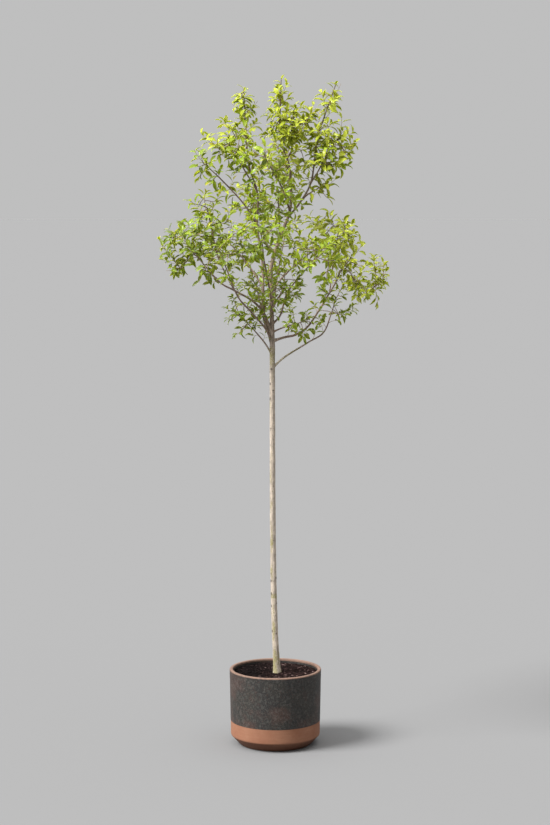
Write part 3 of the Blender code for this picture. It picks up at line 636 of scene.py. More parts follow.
class Mass:
    """A space for foliage: an ellipsoid, cut flat where it meets its neighbours."""

    def __init__(self, name, centre, radii, fullness, lightness):
        self.name = name
        self.centre = Vector(centre)
        self.radii = Vector(radii)
        self.fullness = fullness
        self.lightness = lightness
        self.walls = []
        self.entry = None
        self.heading = None

    def scaled(self, offset):
        """An offset from the centre, measured in half-widths."""
        return Vector((offset.x / self.radii.x, offset.y / self.radii.y, offset.z / self.radii.z))

    def depth(self, point):
        """0 at the centre and 1 at the surface of the ellipsoid."""
        return self.scaled(point - self.centre).length

    def reach_along(self, direction):
        """Distance from the centre to the ellipsoid's surface."""
        return 1.0 / self.scaled(direction).length

    def add_wall(self, other):
        """Set a flat limit between two masses, in proportion to their sizes."""
        between = other.centre - self.centre
        direction = between.normalized()
        share = self.reach_along(direction) / (self.reach_along(direction) + other.reach_along(direction))
        self.walls.append((self.centre + between * share, direction))

    def room(self, start, direction):
        """Distance from a point inside to the limit of the space, in a direction."""
        near = self.scaled(start - self.centre)
        along = self.scaled(direction)
        a = along.dot(along)
        b = near.dot(along)
        c = near.dot(near) - SPACE_EDGE ** 2
        distance = (-b + math.sqrt(max(b * b - a * c, 0.0))) / a
        for place, wall in self.walls:
            speed = direction.dot(wall)
            if speed > 1e-6:
                distance = min(distance, (place - start).dot(wall) / speed)
        return distance


masses = {row[0]: Mass(*row) for row in MASSES}
for mass in masses.values():
    for other in masses.values():
        if other is not mass:
            mass.add_wall(other)


def trunk_axis(height):
    """Centre of the trunk at a height above the compost."""
    lean = TRUNK_LEAN * (1 - math.exp(-height / TRUNK_LEAN_HEIGHT))
    sway = TRUNK_SWAY * math.sin(math.pi * height / (FORK_HEIGHT - SOIL_TOP))
    return Vector((TRUNK_FOOT_X - lean, sway, SOIL_TOP + height))


def trunk_radius(height):
    """The trunk tapers slowly upwards and flares out at its foot."""
    height = max(height, 0.0)
    taper = TRUNK_TAPER * math.exp(-height / TRUNK_TAPER_HEIGHT)
    flare = TRUNK_FLARE * math.exp(-height / TRUNK_FLARE_HEIGHT)
    return TRUNK_TOP_RADIUS + taper + flare


def curve_through(guides, step):
    """A smooth curve through guide points, read off at an even step."""
    ends = [guides[0] * 2 - guides[1]] + guides + [guides[-1] * 2 - guides[-2]]
    points = [guides[0].copy()]
    for before, start, end, after in zip(ends, ends[1:], ends[2:], ends[3:]):
        count = max(1, round((end - start).length / step))
        for i in range(1, count + 1):
            t = i / count
            points.append(0.5 * (2 * start + (end - before) * t
                                 + (2 * before - 5 * start + 4 * end - after) * t * t
                                 + (3 * start - before - 3 * end + after) * t ** 3))
    return points


def place_at_height(points, radii, height):
    """The first place on a limb's axis at a given height, and the limb's radius there."""
    for i in range(len(points) - 1):
        start, end = points[i], points[i + 1]
        if start.z <= height <= end.z:
            share = (height - start.z) / (end.z - start.z)
            return start.lerp(end, share), radii[i] + (radii[i + 1] - radii[i]) * share
    raise ValueError("no place at this height")


def cut_at_mass(route, mass):
    """Shorten a route so that it ends where it enters its mass."""
    kept = [route[0]]
    for point in route[1:]:
        kept.append(point)
        if mass.depth(point) < ENTRY_DEPTH:
            break
    return kept


def lengths_along(route):
    """Distance from the start of a route to each of its points."""
    lengths = [0.0]
    for start, end in zip(route, route[1:]):
        lengths.append(lengths[-1] + (end - start).length)
    return lengths


def limb_radii(route, foot_radius, carrier_radius):
    """Radii along a limb: a collar where it leaves its carrier, then a steady taper."""
    lengths = lengths_along(route)
    radii = []
    for length in lengths:
        share = (length / lengths[-1]) ** LIMB_TAPER_POWER
        collar = COLLAR_SWELL * math.exp(-max(length - carrier_radius, 0.0) / COLLAR_REACH)
        radii.append((foot_radius + (LIMB_TIP_RADIUS - foot_radius) * share) * (1 + collar))
    return radii


def sides_across(route):
    """Two directions across a route at each of its points, carried along without twist."""
    tangents = []
    for i in range(len(route)):
        before, after = route[max(i - 1, 0)], route[min(i + 1, len(route) - 1)]
        tangents.append((after - before).normalized())
    first = tangents[0].orthogonal().normalized()
    pairs = []
    for tangent in tangents:
        first = (first - tangent * first.dot(tangent)).normalized()
        pairs.append((first, tangent.cross(first)))
    return pairs


def tube(route, radii, sides, relief=None):
    """A closed tube along a route as points and faces, with relief on its skin."""
    points = []
    for centre, radius, (right, up) in zip(route, radii, sides_across(route)):
        for i in range(sides):
            angle = math.tau * i / sides
            outward = right * math.cos(angle) + up * math.sin(angle)
            rise = relief(centre + outward * radius, radius) if relief else 0.0
            points.append(centre + outward * (radius + rise))
    return points + [route[0], route[-1]], ring_faces(len(route), sides)


scar_random = random.Random("scars")
scar_places = []
scars = [(height - SOIL_TOP, math.radians(turn), KNOT_SIZE) for height, turn in KNOTS]
for scar in range(SCARS):
    row = scar + scar_random.uniform(-SCAR_RISE, SCAR_RISE)
    scar_height = SCAR_LOWEST + (FORK_HEIGHT - SOIL_TOP - SCAR_ENDS) * row / SCARS
    scar_angle = GOLDEN_ANGLE * scar + scar_random.uniform(-SCAR_DRIFT, SCAR_DRIFT)
    scars.append((scar_height, scar_angle, scar_random.uniform(*SCAR_SIZE)))
for scar_height, scar_angle, size in scars:
    outward = Vector((math.cos(scar_angle), math.sin(scar_angle), 0.0))
    scar_places.append((trunk_axis(scar_height) + outward * trunk_radius(scar_height), size))


def scar_mark(point):
    """1 in the middle of a scar on the trunk, falling to 0 around it."""
    mark = 0.0
    for place, size in scar_places:
        apart = (point - place).length / size
        if apart < 3.0:
            mark = max(mark, math.exp(-apart * apart))
    return mark


def bark_relief(point, radius):
    """Long low ridges and small dents in the bark, and the lips of the scars."""
    ridges = noise.noise(Vector((point.x * 55.0, point.y * 55.0, point.z * 7.0)))
    dents = noise.noise(Vector((point.x * 160.0, point.y * 160.0, point.z * 110.0)))
    slow = noise.noise(point * 9.0)
    rise = radius * BARK_RELIEF * (0.9 * ridges + 0.5 * dents + 1.1 * slow)
    mark = scar_mark(point)
    return rise + SCAR_HEIGHT * (mark - 1.7 * mark ** 6)


def lichen_cover(point, outward):
    """Share of lichen on the bark: near the compost and the fork, on the left, and in a band."""
    if point.z > FORK_HEIGHT:
        return 0.0
    patches = noise.noise(Vector((point.x * 40.0, point.y * 40.0, point.z * 9.0)))
    low = math.exp(-(point.z - SOIL_TOP) / LICHEN_FOOT)
    left = max(0.0, -outward.x * 0.8 - outward.y * 0.3)
    band = 1.6 * math.exp(-((point.z - LICHEN_BAND) / LICHEN_BAND_WIDTH) ** 2)
    high = math.exp(-((point.z - FORK_HEIGHT) / LICHEN_FORK) ** 2)
    return min(1.0, max(0.0, low * (0.75 + patches) + left * (0.35 + 1.5 * patches) + high * 0.6 + band))


# Bark skin: streaks that run along the wood, crossed by short dark pores
bark_skin, given, puts = new_group("bark_skin", ["Streaks", "Pores"], ["Streak", "Pore"])
long_way = stretched(bark_skin, given["Place"], (1.0, 1.0, 0.10))
flat_way = stretched(bark_skin, given["Place"], (0.35, 0.35, 1.6))
cells = add_node(bark_skin, "ShaderNodeTexVoronoi", {"Vector": flat_way, "Scale": given["Pores"]}).outputs
bark_skin.links.new(cloudy(bark_skin, long_way, given["Streaks"], 4.0, 0.6), puts["Streak"])
bark_skin.links.new(spread(bark_skin, cells["Distance"], 0.10, 0.26, 1.0, 0.0), puts["Pore"])


def marks_on(tree, names):
    """Values that a piece carries at its points, by name."""
    return [add_node(tree, "ShaderNodeAttribute", attribute_name=name).outputs["Fac"] for name in names]


def set_marks(piece, marks):
    """Give a piece values at its points, by name."""
    for name, values in marks.items():
        piece.data.attributes.new(name, "FLOAT", "POINT").data.foreach_set("value", values)


def bark_finish():
    """Thin smooth bark that turns from brown to grey-beige with age, with scars and lichen."""
    made, tree, place = new_finish("laurel_bark")
    skin = use_group(tree, bark_skin, place, Streaks=150.0, Pores=110.0)
    clouds = use_group(tree, mottling, place, Scale=24.0, Contrast=3.6)
    flecks = use_group(tree, specks, place, Scale=75.0, Size=0.32, Share=0.26)
    youth, scar, lichen = marks_on(tree, BARK_MARKS)
    streaks = spread(tree, skin["Streak"], 0.38, 0.66)
    old = painted(tree, blend(tree, streaks, BARK_GREY, BARK_PALE), (
        (clouds["Cloud"], 0.50, 1.0, 0.0, 0.7, BARK_GREY),
        (flecks["Spot"], 0.0, 1.0, 0.0, 0.55, BARK_DARK),
    ))
    young = blend(tree, streaks, BARK_YOUNG, BARK_YOUNG_PALE)
    colour = painted(tree, blend(tree, youth, old, young), (
        (sums(tree, "MULTIPLY", lichen, clouds["Fine"]), 0.12, 0.5, 0.0, 0.85, BARK_LICHEN),
        (skin["Pore"], 0.0, 1.0, 0.0, 0.6, BARK_DARK),
        (scar, 0.25, 0.75, 0.0, 0.95, BARK_DARK),
    ))
    roughness = spread(tree, skin["Streak"], 0.3, 0.7, 0.68, 0.9)
    return finished(made, colour, roughness, skin["Streak"], 0.0016, 0.8)


def bark_marks(point, centre, radius):
    """How young, scarred and grown with lichen the bark is at a point."""
    thin = (THIN_WOOD[1] - radius) / (THIN_WOOD[1] - THIN_WOOD[0])
    high = (point.z - YOUNG_HEIGHT) / YOUNG_SPAN
    youth = min(1.0, max(0.0, min(high, YOUNG_MOST), min(thin, high * 2.0)))
    scar = scar_mark(point) if point.z < FORK_HEIGHT else 0.0
    return youth, scar, lichen_cover(point, (point - centre).normalized())


def add_bark(name, route, radii, sides, *nodes):
    """One limb's bark as a piece, with its marks on its points."""
    points, faces = tube(route, radii, sides, bark_relief)
    piece = add_piece(name, points, faces, [bark])
    rows = [min(i // sides, len(route) - 1) for i in range(len(points))]
    marks = [bark_marks(point, route[row], radii[row]) for point, row in zip(points, rows)]
    set_marks(piece, dict(zip(BARK_MARKS, zip(*marks))))
    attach(piece, "root")
    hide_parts(*nodes)
    limb_walls.append((points, faces))


bark = bark_finish()
limb_walls = []
clear_length = FORK_HEIGHT - SOIL_TOP
rises = [-FOOT_SUNK + (clear_length + FOOT_SUNK) * i / round(clear_length / TRUNK_STEP)
         for i in range(round(clear_length / TRUNK_STEP) + 1)]
shapes = {"trunk": ([trunk_axis(rise) for rise in rises], [trunk_radius(rise) for rise in rises])}
for name, carrier, height, foot_radius, bends, mass_name in LIMBS:
    mass = masses[mass_name]
    guides = [Vector(bend) for bend in bends] + [mass.centre]
    carrier_points, carrier_radii = shapes[carrier]
    if name == "main_leader":
        lower_route, lower_radii = shapes["trunk"]
        upper_route = cut_at_mass(curve_through([lower_route[-1]] + guides, BOUGH_STEP), mass)
        upper_radii = limb_radii(upper_route, foot_radius, NO_COLLAR)
        shapes[name] = (upper_route, upper_radii)
        add_bark("trunk_bark", lower_route + upper_route[1:], lower_radii + upper_radii[1:], TRUNK_SIDES,
                 "trunk", "main_leader")
    else:
        start, thickness = place_at_height(carrier_points, carrier_radii, height)
        foot_radius = min(foot_radius, thickness * FORK_SHARE)
        route = cut_at_mass(curve_through([start] + guides, BOUGH_STEP), mass)
        radii = limb_radii(route, foot_radius, thickness)
        shapes[name] = (route, radii)
        add_bark(name + "_bark", route, radii, BOUGH_SIDES, name)
    mass.entry = shapes[name][0][-1].copy()
    mass.heading = (shapes[name][0][-1] - shapes[name][0][-3]).normalized()


# Shoots -----------------------------------------------------------------------------------
# A stem grows on from each bough's tip and branches to all sides, and leafy sprays grow on
# from those. Short spurs break from the limbs. Bark is brown at first, and then reddish green.

SEED = 5
STEM_REACH = 0.45
LEADER_REACH = 0.84
SHOOTS_IN_ALL = 290
SPRAYS_IN_ALL = 640
LEADER_SHOOTS = 2
LEADER_SPRAYS = 5
SHOOT_REACH = (0.50, 0.82)
SHOOT_SHORTEST = 0.035
SHOOT_JITTER = 0.2
SPRAY_LENGTH = (0.11, 0.22)
SPRAY_SHORTEST = 0.06
SPRAY_LONGEST = 0.30
SPRAY_MARGIN = (0.0, 0.11)
SPRAY_MARGIN_MOST = 0.4
SPRAY_LIFT = 0.35
BEND_COST = 0.06
TURN_COST = 0.14
SPUR_FIRST = 0.10
SPUR_GAP = 0.048
SPUR_GAP_SPREAD = (0.7, 1.3)
SPUR_LEAN = 0.5
SPUR_LIFT = 0.3
SPUR_LENGTH = (0.05, 0.12)
SPUR_LOWEST = 3.20
SPUR_EDGE = (1.20, 1.55)
SHOOT_BASE = 0.80
OPEN_HEIGHT = 4.10
ROOT_SET_BACK = 0.25
ROOT_SPAN = (0.15, 0.90)
HIDDEN_SHARE = 0.45
HIDDEN_EDGE = 0.9
SHOOT_RADII = ((0.0052, 0.0034), (0.0036, 0.0019), (0.0021, 0.0012), (0.0021, 0.0012))
SHOOT_SIDES = (6, 5, 4, 4)
SHOOT_POINTS = (7, 6, 6)
CARRY_ON = 0.45
NEAR_SHARE = 0.35
FAR_SHARE = 0.40
STEM_PULL = 0.2
UPWARD_PULL = 0.55
SHOOT_HANG = 1.5
SPRAY_HANG = 1.8
LOW_EDGE = 3.50
LOW_SPAN = 0.45
LOW_HANG = 0.4
OPEN_HANG = 0.4
LIMB_CLEARANCE = 0.004
SHOOT_BROWN = (0.120, 0.075, 0.050, 1.0)
SHOOT_GREY = (0.330, 0.235, 0.165, 1.0)
GREEN_SHOOT = (0.300, 0.230, 0.080, 1.0)
RED_SHOOT = (0.290, 0.150, 0.085, 1.0)


def shoot_directions(count, rng):
    """Directions spread evenly over a sphere, in a shuffled order."""
    turn = rng.uniform(0.0, math.tau)
    directions = []
    for i in range(count):
        z = 1.0 - 2.0 * (i + 0.5) / count
        flat = math.sqrt(1.0 - z * z)
        angle = turn + GOLDEN_ANGLE * i
        even = Vector((flat * math.cos(angle), flat * math.sin(angle), z))
        jitter = Vector([rng.uniform(-SHOOT_JITTER, SHOOT_JITTER) for _ in range(3)])
        directions.append((even + jitter).normalized())
    rng.shuffle(directions)
    return directions


def nearest_root(twigs, target):
    """The place on the twigs grown so far from which a shoot reaches its target, and its way."""
    places = []
    for start, end in twigs:
        share = intersect_point_line(target, start, end)[1] - ROOT_SET_BACK
        share = min(max(share, ROOT_SPAN[0]), ROOT_SPAN[1])
        places.append((start.lerp(end, share), (end - start).normalized()))
    return min(places, key=lambda place: (target - place[0]).length)


def spray_root(twigs, target, wanted, outward):
    """The place on the twigs from which a spray of a wanted length grows on and outwards."""
    best = None
    for start, end in twigs:
        root = start.lerp(end, 0.5)
        way = (end - start).normalized()
        reach = (target - root).length
        straight = (target - root) / reach
        cost = abs(reach - wanted) + BEND_COST * (1.0 - straight.dot(way))
        cost += TURN_COST * (1.0 - straight.dot(outward))
        if best is None or cost < best[0]:
            best = (cost, root, way)
    return best[1:]


def bent_shoot(root, way, target, pull, count):
    """A shoot that leaves along its carrier and turns up or down towards its tip."""
    reach = (target - root).length
    straight = (target - root).normalized()
    leaving = (straight + way * CARRY_ON).normalized()
    arriving = (straight + Vector((0.0, 0.0, pull))).normalized()
    near = root + leaving * reach * NEAR_SHARE
    far = target - arriving * reach * FAR_SHARE
    return [bent([root, near, far, target], i / (count - 1)) for i in range(count)]


def hanging(mass, point):
    """0 where shoots and leaves reach up to the light, and up to 1 at a low mass's underside."""
    low = min(max((LOW_EDGE - point.z) / LOW_SPAN, 0.0), 1.0)
    under = min(max((mass.centre.z - point.z) / mass.radii.z * 1.6 - 0.6, 0.0), 1.0)
    return max(low * LOW_HANG, under) * (1.0 if mass.centre.z < OPEN_HEIGHT else OPEN_HANG)


def clear_of_limbs(points):
    """True where no point comes near a limb's bark."""
    return all(limb_tree.find_nearest(point, LIMB_CLEARANCE)[0] is None for point in points)


def grow_shoots(mass, share, rng):
    """The stem, shoots and sprays of one mass, as (points, order) from the stem out."""
    is_leader = mass.name.startswith("top")
    reach = mass.room(mass.entry, mass.heading) * (LEADER_REACH if is_leader else STEM_REACH)
    stem_end = mass.entry + mass.heading * reach
    stem = bent_shoot(mass.entry, mass.heading, stem_end, STEM_PULL, SHOOT_POINTS[0])
    grown = [(stem, 0)]
    twigs = list(zip(stem, stem[1:]))
    thinned = min(1.0, SHOOT_BASE + mass.fullness)
    count = LEADER_SHOOTS if is_leader else round(SHOOTS_IN_ALL * share * thinned)
    for direction in shoot_directions(count, rng):
        target = mass.centre + direction * mass.room(mass.centre, direction) * rng.uniform(*SHOOT_REACH)
        root, way = nearest_root(twigs, target)
        if (target - root).length > SHOOT_SHORTEST:
            pull = UPWARD_PULL * (1.0 - SHOOT_HANG * hanging(mass, target))
            points = bent_shoot(root, way, target, pull, SHOOT_POINTS[1])
            if clear_of_limbs(points[2:]):
                grown.append((points, 1))
                twigs += list(zip(points, points[1:]))
    sprays = LEADER_SPRAYS if is_leader else round(SPRAYS_IN_ALL * share * mass.fullness)
    for direction in shoot_directions(sprays, rng):
        free_reach = mass.room(mass.centre, direction)
        hidden = free_reach < mass.reach_along(direction) * SPACE_EDGE * HIDDEN_EDGE
        if hidden and rng.random() < HIDDEN_SHARE:
            continue
        margin = min(rng.uniform(*SPRAY_MARGIN), free_reach * SPRAY_MARGIN_MOST)
        target = mass.centre + direction * (free_reach - margin)
        outward = (direction + Vector((0.0, 0.0, SPRAY_LIFT))).normalized()
        root, way = spray_root(twigs, target, rng.uniform(*SPRAY_LENGTH), outward)
        if SPRAY_SHORTEST < (target - root).length < SPRAY_LONGEST:
            pull = UPWARD_PULL * (1.0 - SPRAY_HANG * hanging(mass, target))
            points = bent_shoot(root, way, target, pull, SHOOT_POINTS[2])
            if clear_of_limbs(points[2:]):
                grown.append((points, 2))
    return grown


def grow_spurs(name, route, rng):
    """Short leafy shoots that break from a limb inside the crown, each with its nearest mass."""
    lengths = lengths_along(route)
    place = SPUR_FIRST + rng.uniform(0.0, SPUR_GAP)
    row = 0
    while place < lengths[-1]:
        root, way = point_on(route, lengths, place)
        outward = Matrix.Rotation(GOLDEN_ANGLE * row, 3, way) @ way.orthogonal().normalized()
        reach = rng.uniform(*SPUR_LENGTH)
        target = root + (outward + way * SPUR_LEAN + Vector((0.0, 0.0, SPUR_LIFT))).normalized() * reach
        mass = min(masses.values(), key=lambda mass: mass.depth(target))
        if root.z > SPUR_LOWEST and mass.depth(target) < SPUR_EDGE[root.z > OPEN_HEIGHT]:
            points = bent_shoot(root, way, target, UPWARD_PULL, SHOOT_POINTS[2])
            if clear_of_limbs(points[3:]):
                shoots[mass.name].append((points, 3))
        place += SPUR_GAP * rng.uniform(*SPUR_GAP_SPREAD)
        row += 1


def point_on(points, lengths, length):
    """A place on a line at a distance from its foot, and the line's direction there."""
    for i in range(len(points) - 1):
        if length <= lengths[i + 1] or i == len(points) - 2:
            share = (length - lengths[i]) / (lengths[i + 1] - lengths[i])
            return points[i].lerp(points[i + 1], share), (points[i + 1] - points[i]).normalized()


limb_tree = BVHTree.FromPolygons(*joined(limb_walls))
surfaces = {name: (mass.radii.x * mass.radii.y * mass.radii.z) ** (2 / 3) for name, mass in masses.items()}
shoots = {}
for name, mass in masses.items():
    shoots[name] = grow_shoots(mass, surfaces[name] / sum(surfaces.values()), random.Random(f"{name} {SEED}"))
for name, (route, radii) in shapes.items():
    if name != "trunk":
        grow_spurs(name, route, random.Random(f"{name} spurs {SEED}"))


def shoot_finish(name, dark, pale):
    """Smooth young bark with fine streaks."""
    made, tree, place = new_finish(name)
    skin = use_group(tree, bark_skin, place, Streaks=260.0, Pores=320.0)
    colour = blend(tree, spread(tree, skin["Streak"], 0.35, 0.65), dark, pale)
    colour = painted(tree, colour, ((skin["Pore"], 0.0, 1.0, 0.0, 0.3, BARK_DARK),))
    roughness = spread(tree, skin["Streak"], 0.3, 0.7, 0.5, 0.7)
    return finished(made, colour, roughness, skin["Streak"], 0.0005, 0.4)


shoot_pieces = []
for hue, orders, dark, pale in (("brown", (0, 1), SHOOT_BROWN, SHOOT_GREY),
                                ("green", (2, 3), RED_SHOOT, GREEN_SHOOT)):
    tubes = []
    for points, order in sum(shoots.values(), []):
        if order in orders:
            foot, tip = SHOOT_RADII[order]
            radii = [foot + (tip - foot) * i / (len(points) - 1) for i in range(len(points))]
            tubes.append(tube(points, radii, SHOOT_SIDES[order]))
    piece = add_piece(hue + "_shoots", *joined(tubes), [shoot_finish(hue + "_shoot", dark, pale)])
    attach(piece, "root")
    shoot_pieces.append(piece)


# Leaves -----------------------------------------------------------------------------------
# Laurel leaves are oval and pointed, leathery and glossy above, matt and paler below. They
# spiral up every shoot on short stalks, fold at the midrib, and arch back at the tip.

LEAF_LENGTH = (0.080, 0.112)
LEAF_WIDTH_SHARE = (0.33, 0.41)
SHADE_HEIGHT = 3.75
SHADE_LEAF_SHARE = 0.84
LEAF_THICKNESS = 0.0009
STALK_SHARE = 0.10
STALK_OVERLAP = 0.03
STALK_RADIUS = 0.0009
TIP_LEAF_SHARE = 0.70
TIP_LEAVES = 4
LEAF_GAP = (0.010, 0.022)
LEAF_GAP_SPREAD = (0.8, 1.2)
BARE_FOOT = (0.45, 0.52, 0.12, 0.30)
LEAF_PITCH = (0.40, 1.10)
PITCH_SPREAD = 0.14
LEAF_LEVEL = 0.70
LEAF_LIFT = 0.24
HANGING_DROOP = 1.0
SKY_FACING = 1.4
LEAF_ROLL = math.radians(16)
LEAF_CURL = (0.65, 1.30)
CURL_POWER = 1.2
HANGING_CURL = 0.25
LEAF_FOLD = (0.20, 0.50)
LEAF_WAVE = 0.10
WAVE_TURNS = 7.0
LEAF_TWIST = 0.4
LEAF_APART = 0.007
TIP_EDGE = 1.12
VALLEY_SHARPNESS = 3.0
CELL = 0.02
BLADE_STATIONS = (0.0, 0.10, 0.27, 0.47, 0.67, 0.85, 1.0)
BLADE_WIDTHS = (0.0, 0.44, 0.86, 1.0, 0.84, 0.46, 0.0)
# Leaf tones from darkest to lightest, given out by painted light and shade: deep for leaves low down and
# inside the crown, young for those high up and outside, which is also the paler new growth. Bud is the tinted
# first leaf at the tip of some high shoots.
TONES = {
    "deep": ((0.066, 0.104, 0.005, 1.0), (0.098, 0.150, 0.008, 1.0)),
    "mid": ((0.138, 0.210, 0.008, 1.0), (0.182, 0.266, 0.010, 1.0)),
    "bright": ((0.208, 0.298, 0.011, 1.0), (0.262, 0.350, 0.014, 1.0)),
    "young": ((0.300, 0.362, 0.020, 1.0), (0.372, 0.408, 0.028, 1.0)),
    "bud": ((0.355, 0.345, 0.030, 1.0), (0.335, 0.290, 0.034, 1.0)),
}
TONE_LIMITS = (("deep", 0.22), ("mid", 0.44), ("bright", 0.68), ("young", 9.0))
BUD_SHARE = 0.30
VEIN_PALE = (0.380, 0.420, 0.050, 1.0)
UNDERSIDE = (0.250, 0.310, 0.026, 1.0)
LEAF_SHEEN = ((0.36, 0.55), 0.20)
UNDERSIDE_SHEEN = ((0.55, 0.75), 0.0)
LEAF_FLESH = (("Specular IOR Level", 0.15), ("Coat Roughness", 0.18), ("Subsurface Weight", 0.5),
              ("Subsurface Radius", (1.0, 1.0, 0.3)), ("Subsurface Scale", 0.004))
CROWN_FOOT = 3.2
LIGHT_LEAST = 0.10
LIGHT_HIGH = 0.26
LIGHT_OUT = 0.34
LIGHT_ABOVE = 0.14
LIGHT_CHANCE = 0.11
LIGHT_AT_TIP = 0.10
LIGHT_OWN = 0.04
HEIGHT_SLOTS = (("leaves_low", 3.8), ("leaves_middle", 4.45), ("leaves_upper", 5.0), ("leaves_top", 9.0))

leaf_cells = {}


def cell_of(point):
    """The grid cell that a point lies in."""
    return round(point.x / CELL), round(point.y / CELL), round(point.z / CELL)


def is_crowded(points):
    """True where another leaf's blade already lies close to one of these points."""
    for point in points:
        x, y, z = cell_of(point)
        for i in (-1, 0, 1):
            for j in (-1, 0, 1):
                for k in (-1, 0, 1):
                    for other in leaf_cells.get((x + i, y + j, z + k), ()):
                        if (other - point).length < LEAF_APART:
                            return True
    return False


def in_crown(point, edge):
    """True inside the masses up to an edge, and in the valleys where they meet."""
    cover = 0.0
    for mass in masses.values():
        depth = mass.depth(point) / edge
        if depth < 1.0:
            return True
        cover += math.exp(VALLEY_SHARPNESS * (1.0 - depth * depth))
    return cover > 1.0


def painted_spray_light(mass, tip, rng):
    """How light a shoot's leaves are: more so high up, far out and on top, as painted light and shade, and by
    chance.
    """
    high = (tip.z - cad_low.z - CROWN_FOOT) / (cad_high.z - cad_low.z - CROWN_FOOT)
    out = min(mass.depth(tip), 1.0)
    above = (tip - mass.centre).normalized().z
    sure = LIGHT_LEAST + LIGHT_HIGH * high + LIGHT_OUT * out + LIGHT_ABOVE * above
    return sure + rng.gauss(0.0, LIGHT_CHANCE)


def leaf_blade_points(root, along, face, length, curl):
    """Places along a leaf's midrib, for tests of room."""
    points = []
    for share in (0.35, 0.70, 1.0):
        bend = curl * share * 0.5
        points.append(root + (along * math.cos(bend) - face * math.sin(bend)) * length * share)
    return points


def leaves_on_shoot(mass, points, order, rng):
    """Leaves that spiral down a shoot from its tip, each with its place, size and bend."""
    lengths = lengths_along(points)
    # Painted light and shade: the mass's lightness and the spray's place in the crown set its leaves' tone
    light = mass.lightness + painted_spray_light(mass, points[-1], rng)
    turn = rng.uniform(0.0, math.tau)
    hang = hanging(mass, points[-1])
    has_buds = points[-1].z > OPEN_HEIGHT and rng.random() < BUD_SHARE
    grown = []
    place = lengths[-1] - 0.001
    row = 0
    while place > lengths[-1] * BARE_FOOT[order]:
        root, axis = point_on(points, lengths, place)
        outward = Matrix.Rotation(turn + GOLDEN_ANGLE * row, 3, axis) @ axis.orthogonal().normalized()
        age = min(row / TIP_LEAVES, 1.0)
        pitch = LEAF_PITCH[0] + (LEAF_PITCH[1] - LEAF_PITCH[0]) * age
        pitch += rng.uniform(-PITCH_SPREAD, PITCH_SPREAD)
        along = axis * math.cos(pitch) + outward * math.sin(pitch)
        inward = axis * math.sin(pitch) - outward * math.cos(pitch)
        along.z = along.z * LEAF_LEVEL + LEAF_LIFT * (1.0 - hang) - HANGING_DROOP * hang * age
        along.normalize()
        length = rng.uniform(*LEAF_LENGTH) * (TIP_LEAF_SHARE + (1.0 - TIP_LEAF_SHARE) * age)
        length *= SHADE_LEAF_SHARE if mass.centre.z < SHADE_HEIGHT else 1.0
        roll = Matrix.Rotation(rng.uniform(-LEAF_ROLL, LEAF_ROLL), 3, along)
        face = roll @ (Vector((0.0, 0.0, SKY_FACING)) + inward)
        face = (face - along * face.dot(along)).normalized()
        curl = rng.uniform(*LEAF_CURL) * (1.0 - (1.0 - HANGING_CURL) * hang)
        middle = leaf_blade_points(root, along, face, length, curl)
        edges = (SPUR_EDGE[1], SPUR_EDGE[1]) if order == 3 else (SPACE_EDGE, TIP_EDGE)
        fits = in_crown(middle[1], edges[0]) and in_crown(middle[2], edges[1])
        if fits and clear_of_limbs(middle) and not is_crowded(middle[:2]):
            for point in middle[:2]:
                leaf_cells.setdefault(cell_of(point), []).append(point)
            if row < 1 and has_buds:
                tone = "bud"
            else:
                # The tone follows the painted light and shade, and leaves near the tip are paler new growth
                lit = light + LIGHT_AT_TIP * (1.0 - age) + rng.uniform(-LIGHT_OWN, LIGHT_OWN)
                tone = next(name for name, limit in TONE_LIMITS if lit < limit)
            grown.append((tone, root, along, face, length, curl, rng.random()))
        place -= LEAF_GAP[0] + (LEAF_GAP[1] - LEAF_GAP[0]) * age * rng.uniform(*LEAF_GAP_SPREAD)
        row += 1
    return grown


def leaf_faces():
    """The faces of one leaf: upper side, underside, and stalk. Its points are the foot, the tip,
    a left, right, upper and lower one at each station between them, and six on the stalk."""
    upper = []
    under = []
    first = 4 * len(BLADE_STATIONS) - 6
    stations = [[0] * 4] + [list(range(i, i + 4)) for i in range(2, first, 4)] + [[1] * 4]
    for low, high in zip(stations, stations[1:]):
        # Each half of each side, by the two points of a station that it spans
        for side, a, b in ((upper, 2, 1), (upper, 0, 2), (under, 1, 3), (under, 3, 0)):
            halves = (low[a], low[b], high[b]), (low[a], high[b], high[a])
            side += [half for half in halves if len(set(half)) == 3]
    for i in range(3):
        low, beside = first + i, first + (i + 1) % 3
        under += [(low, beside, beside + 3), (low, beside + 3, low + 3)]
    return upper, under + [(first, first + 2, first + 1), (first + 3, first + 4, first + 5)]


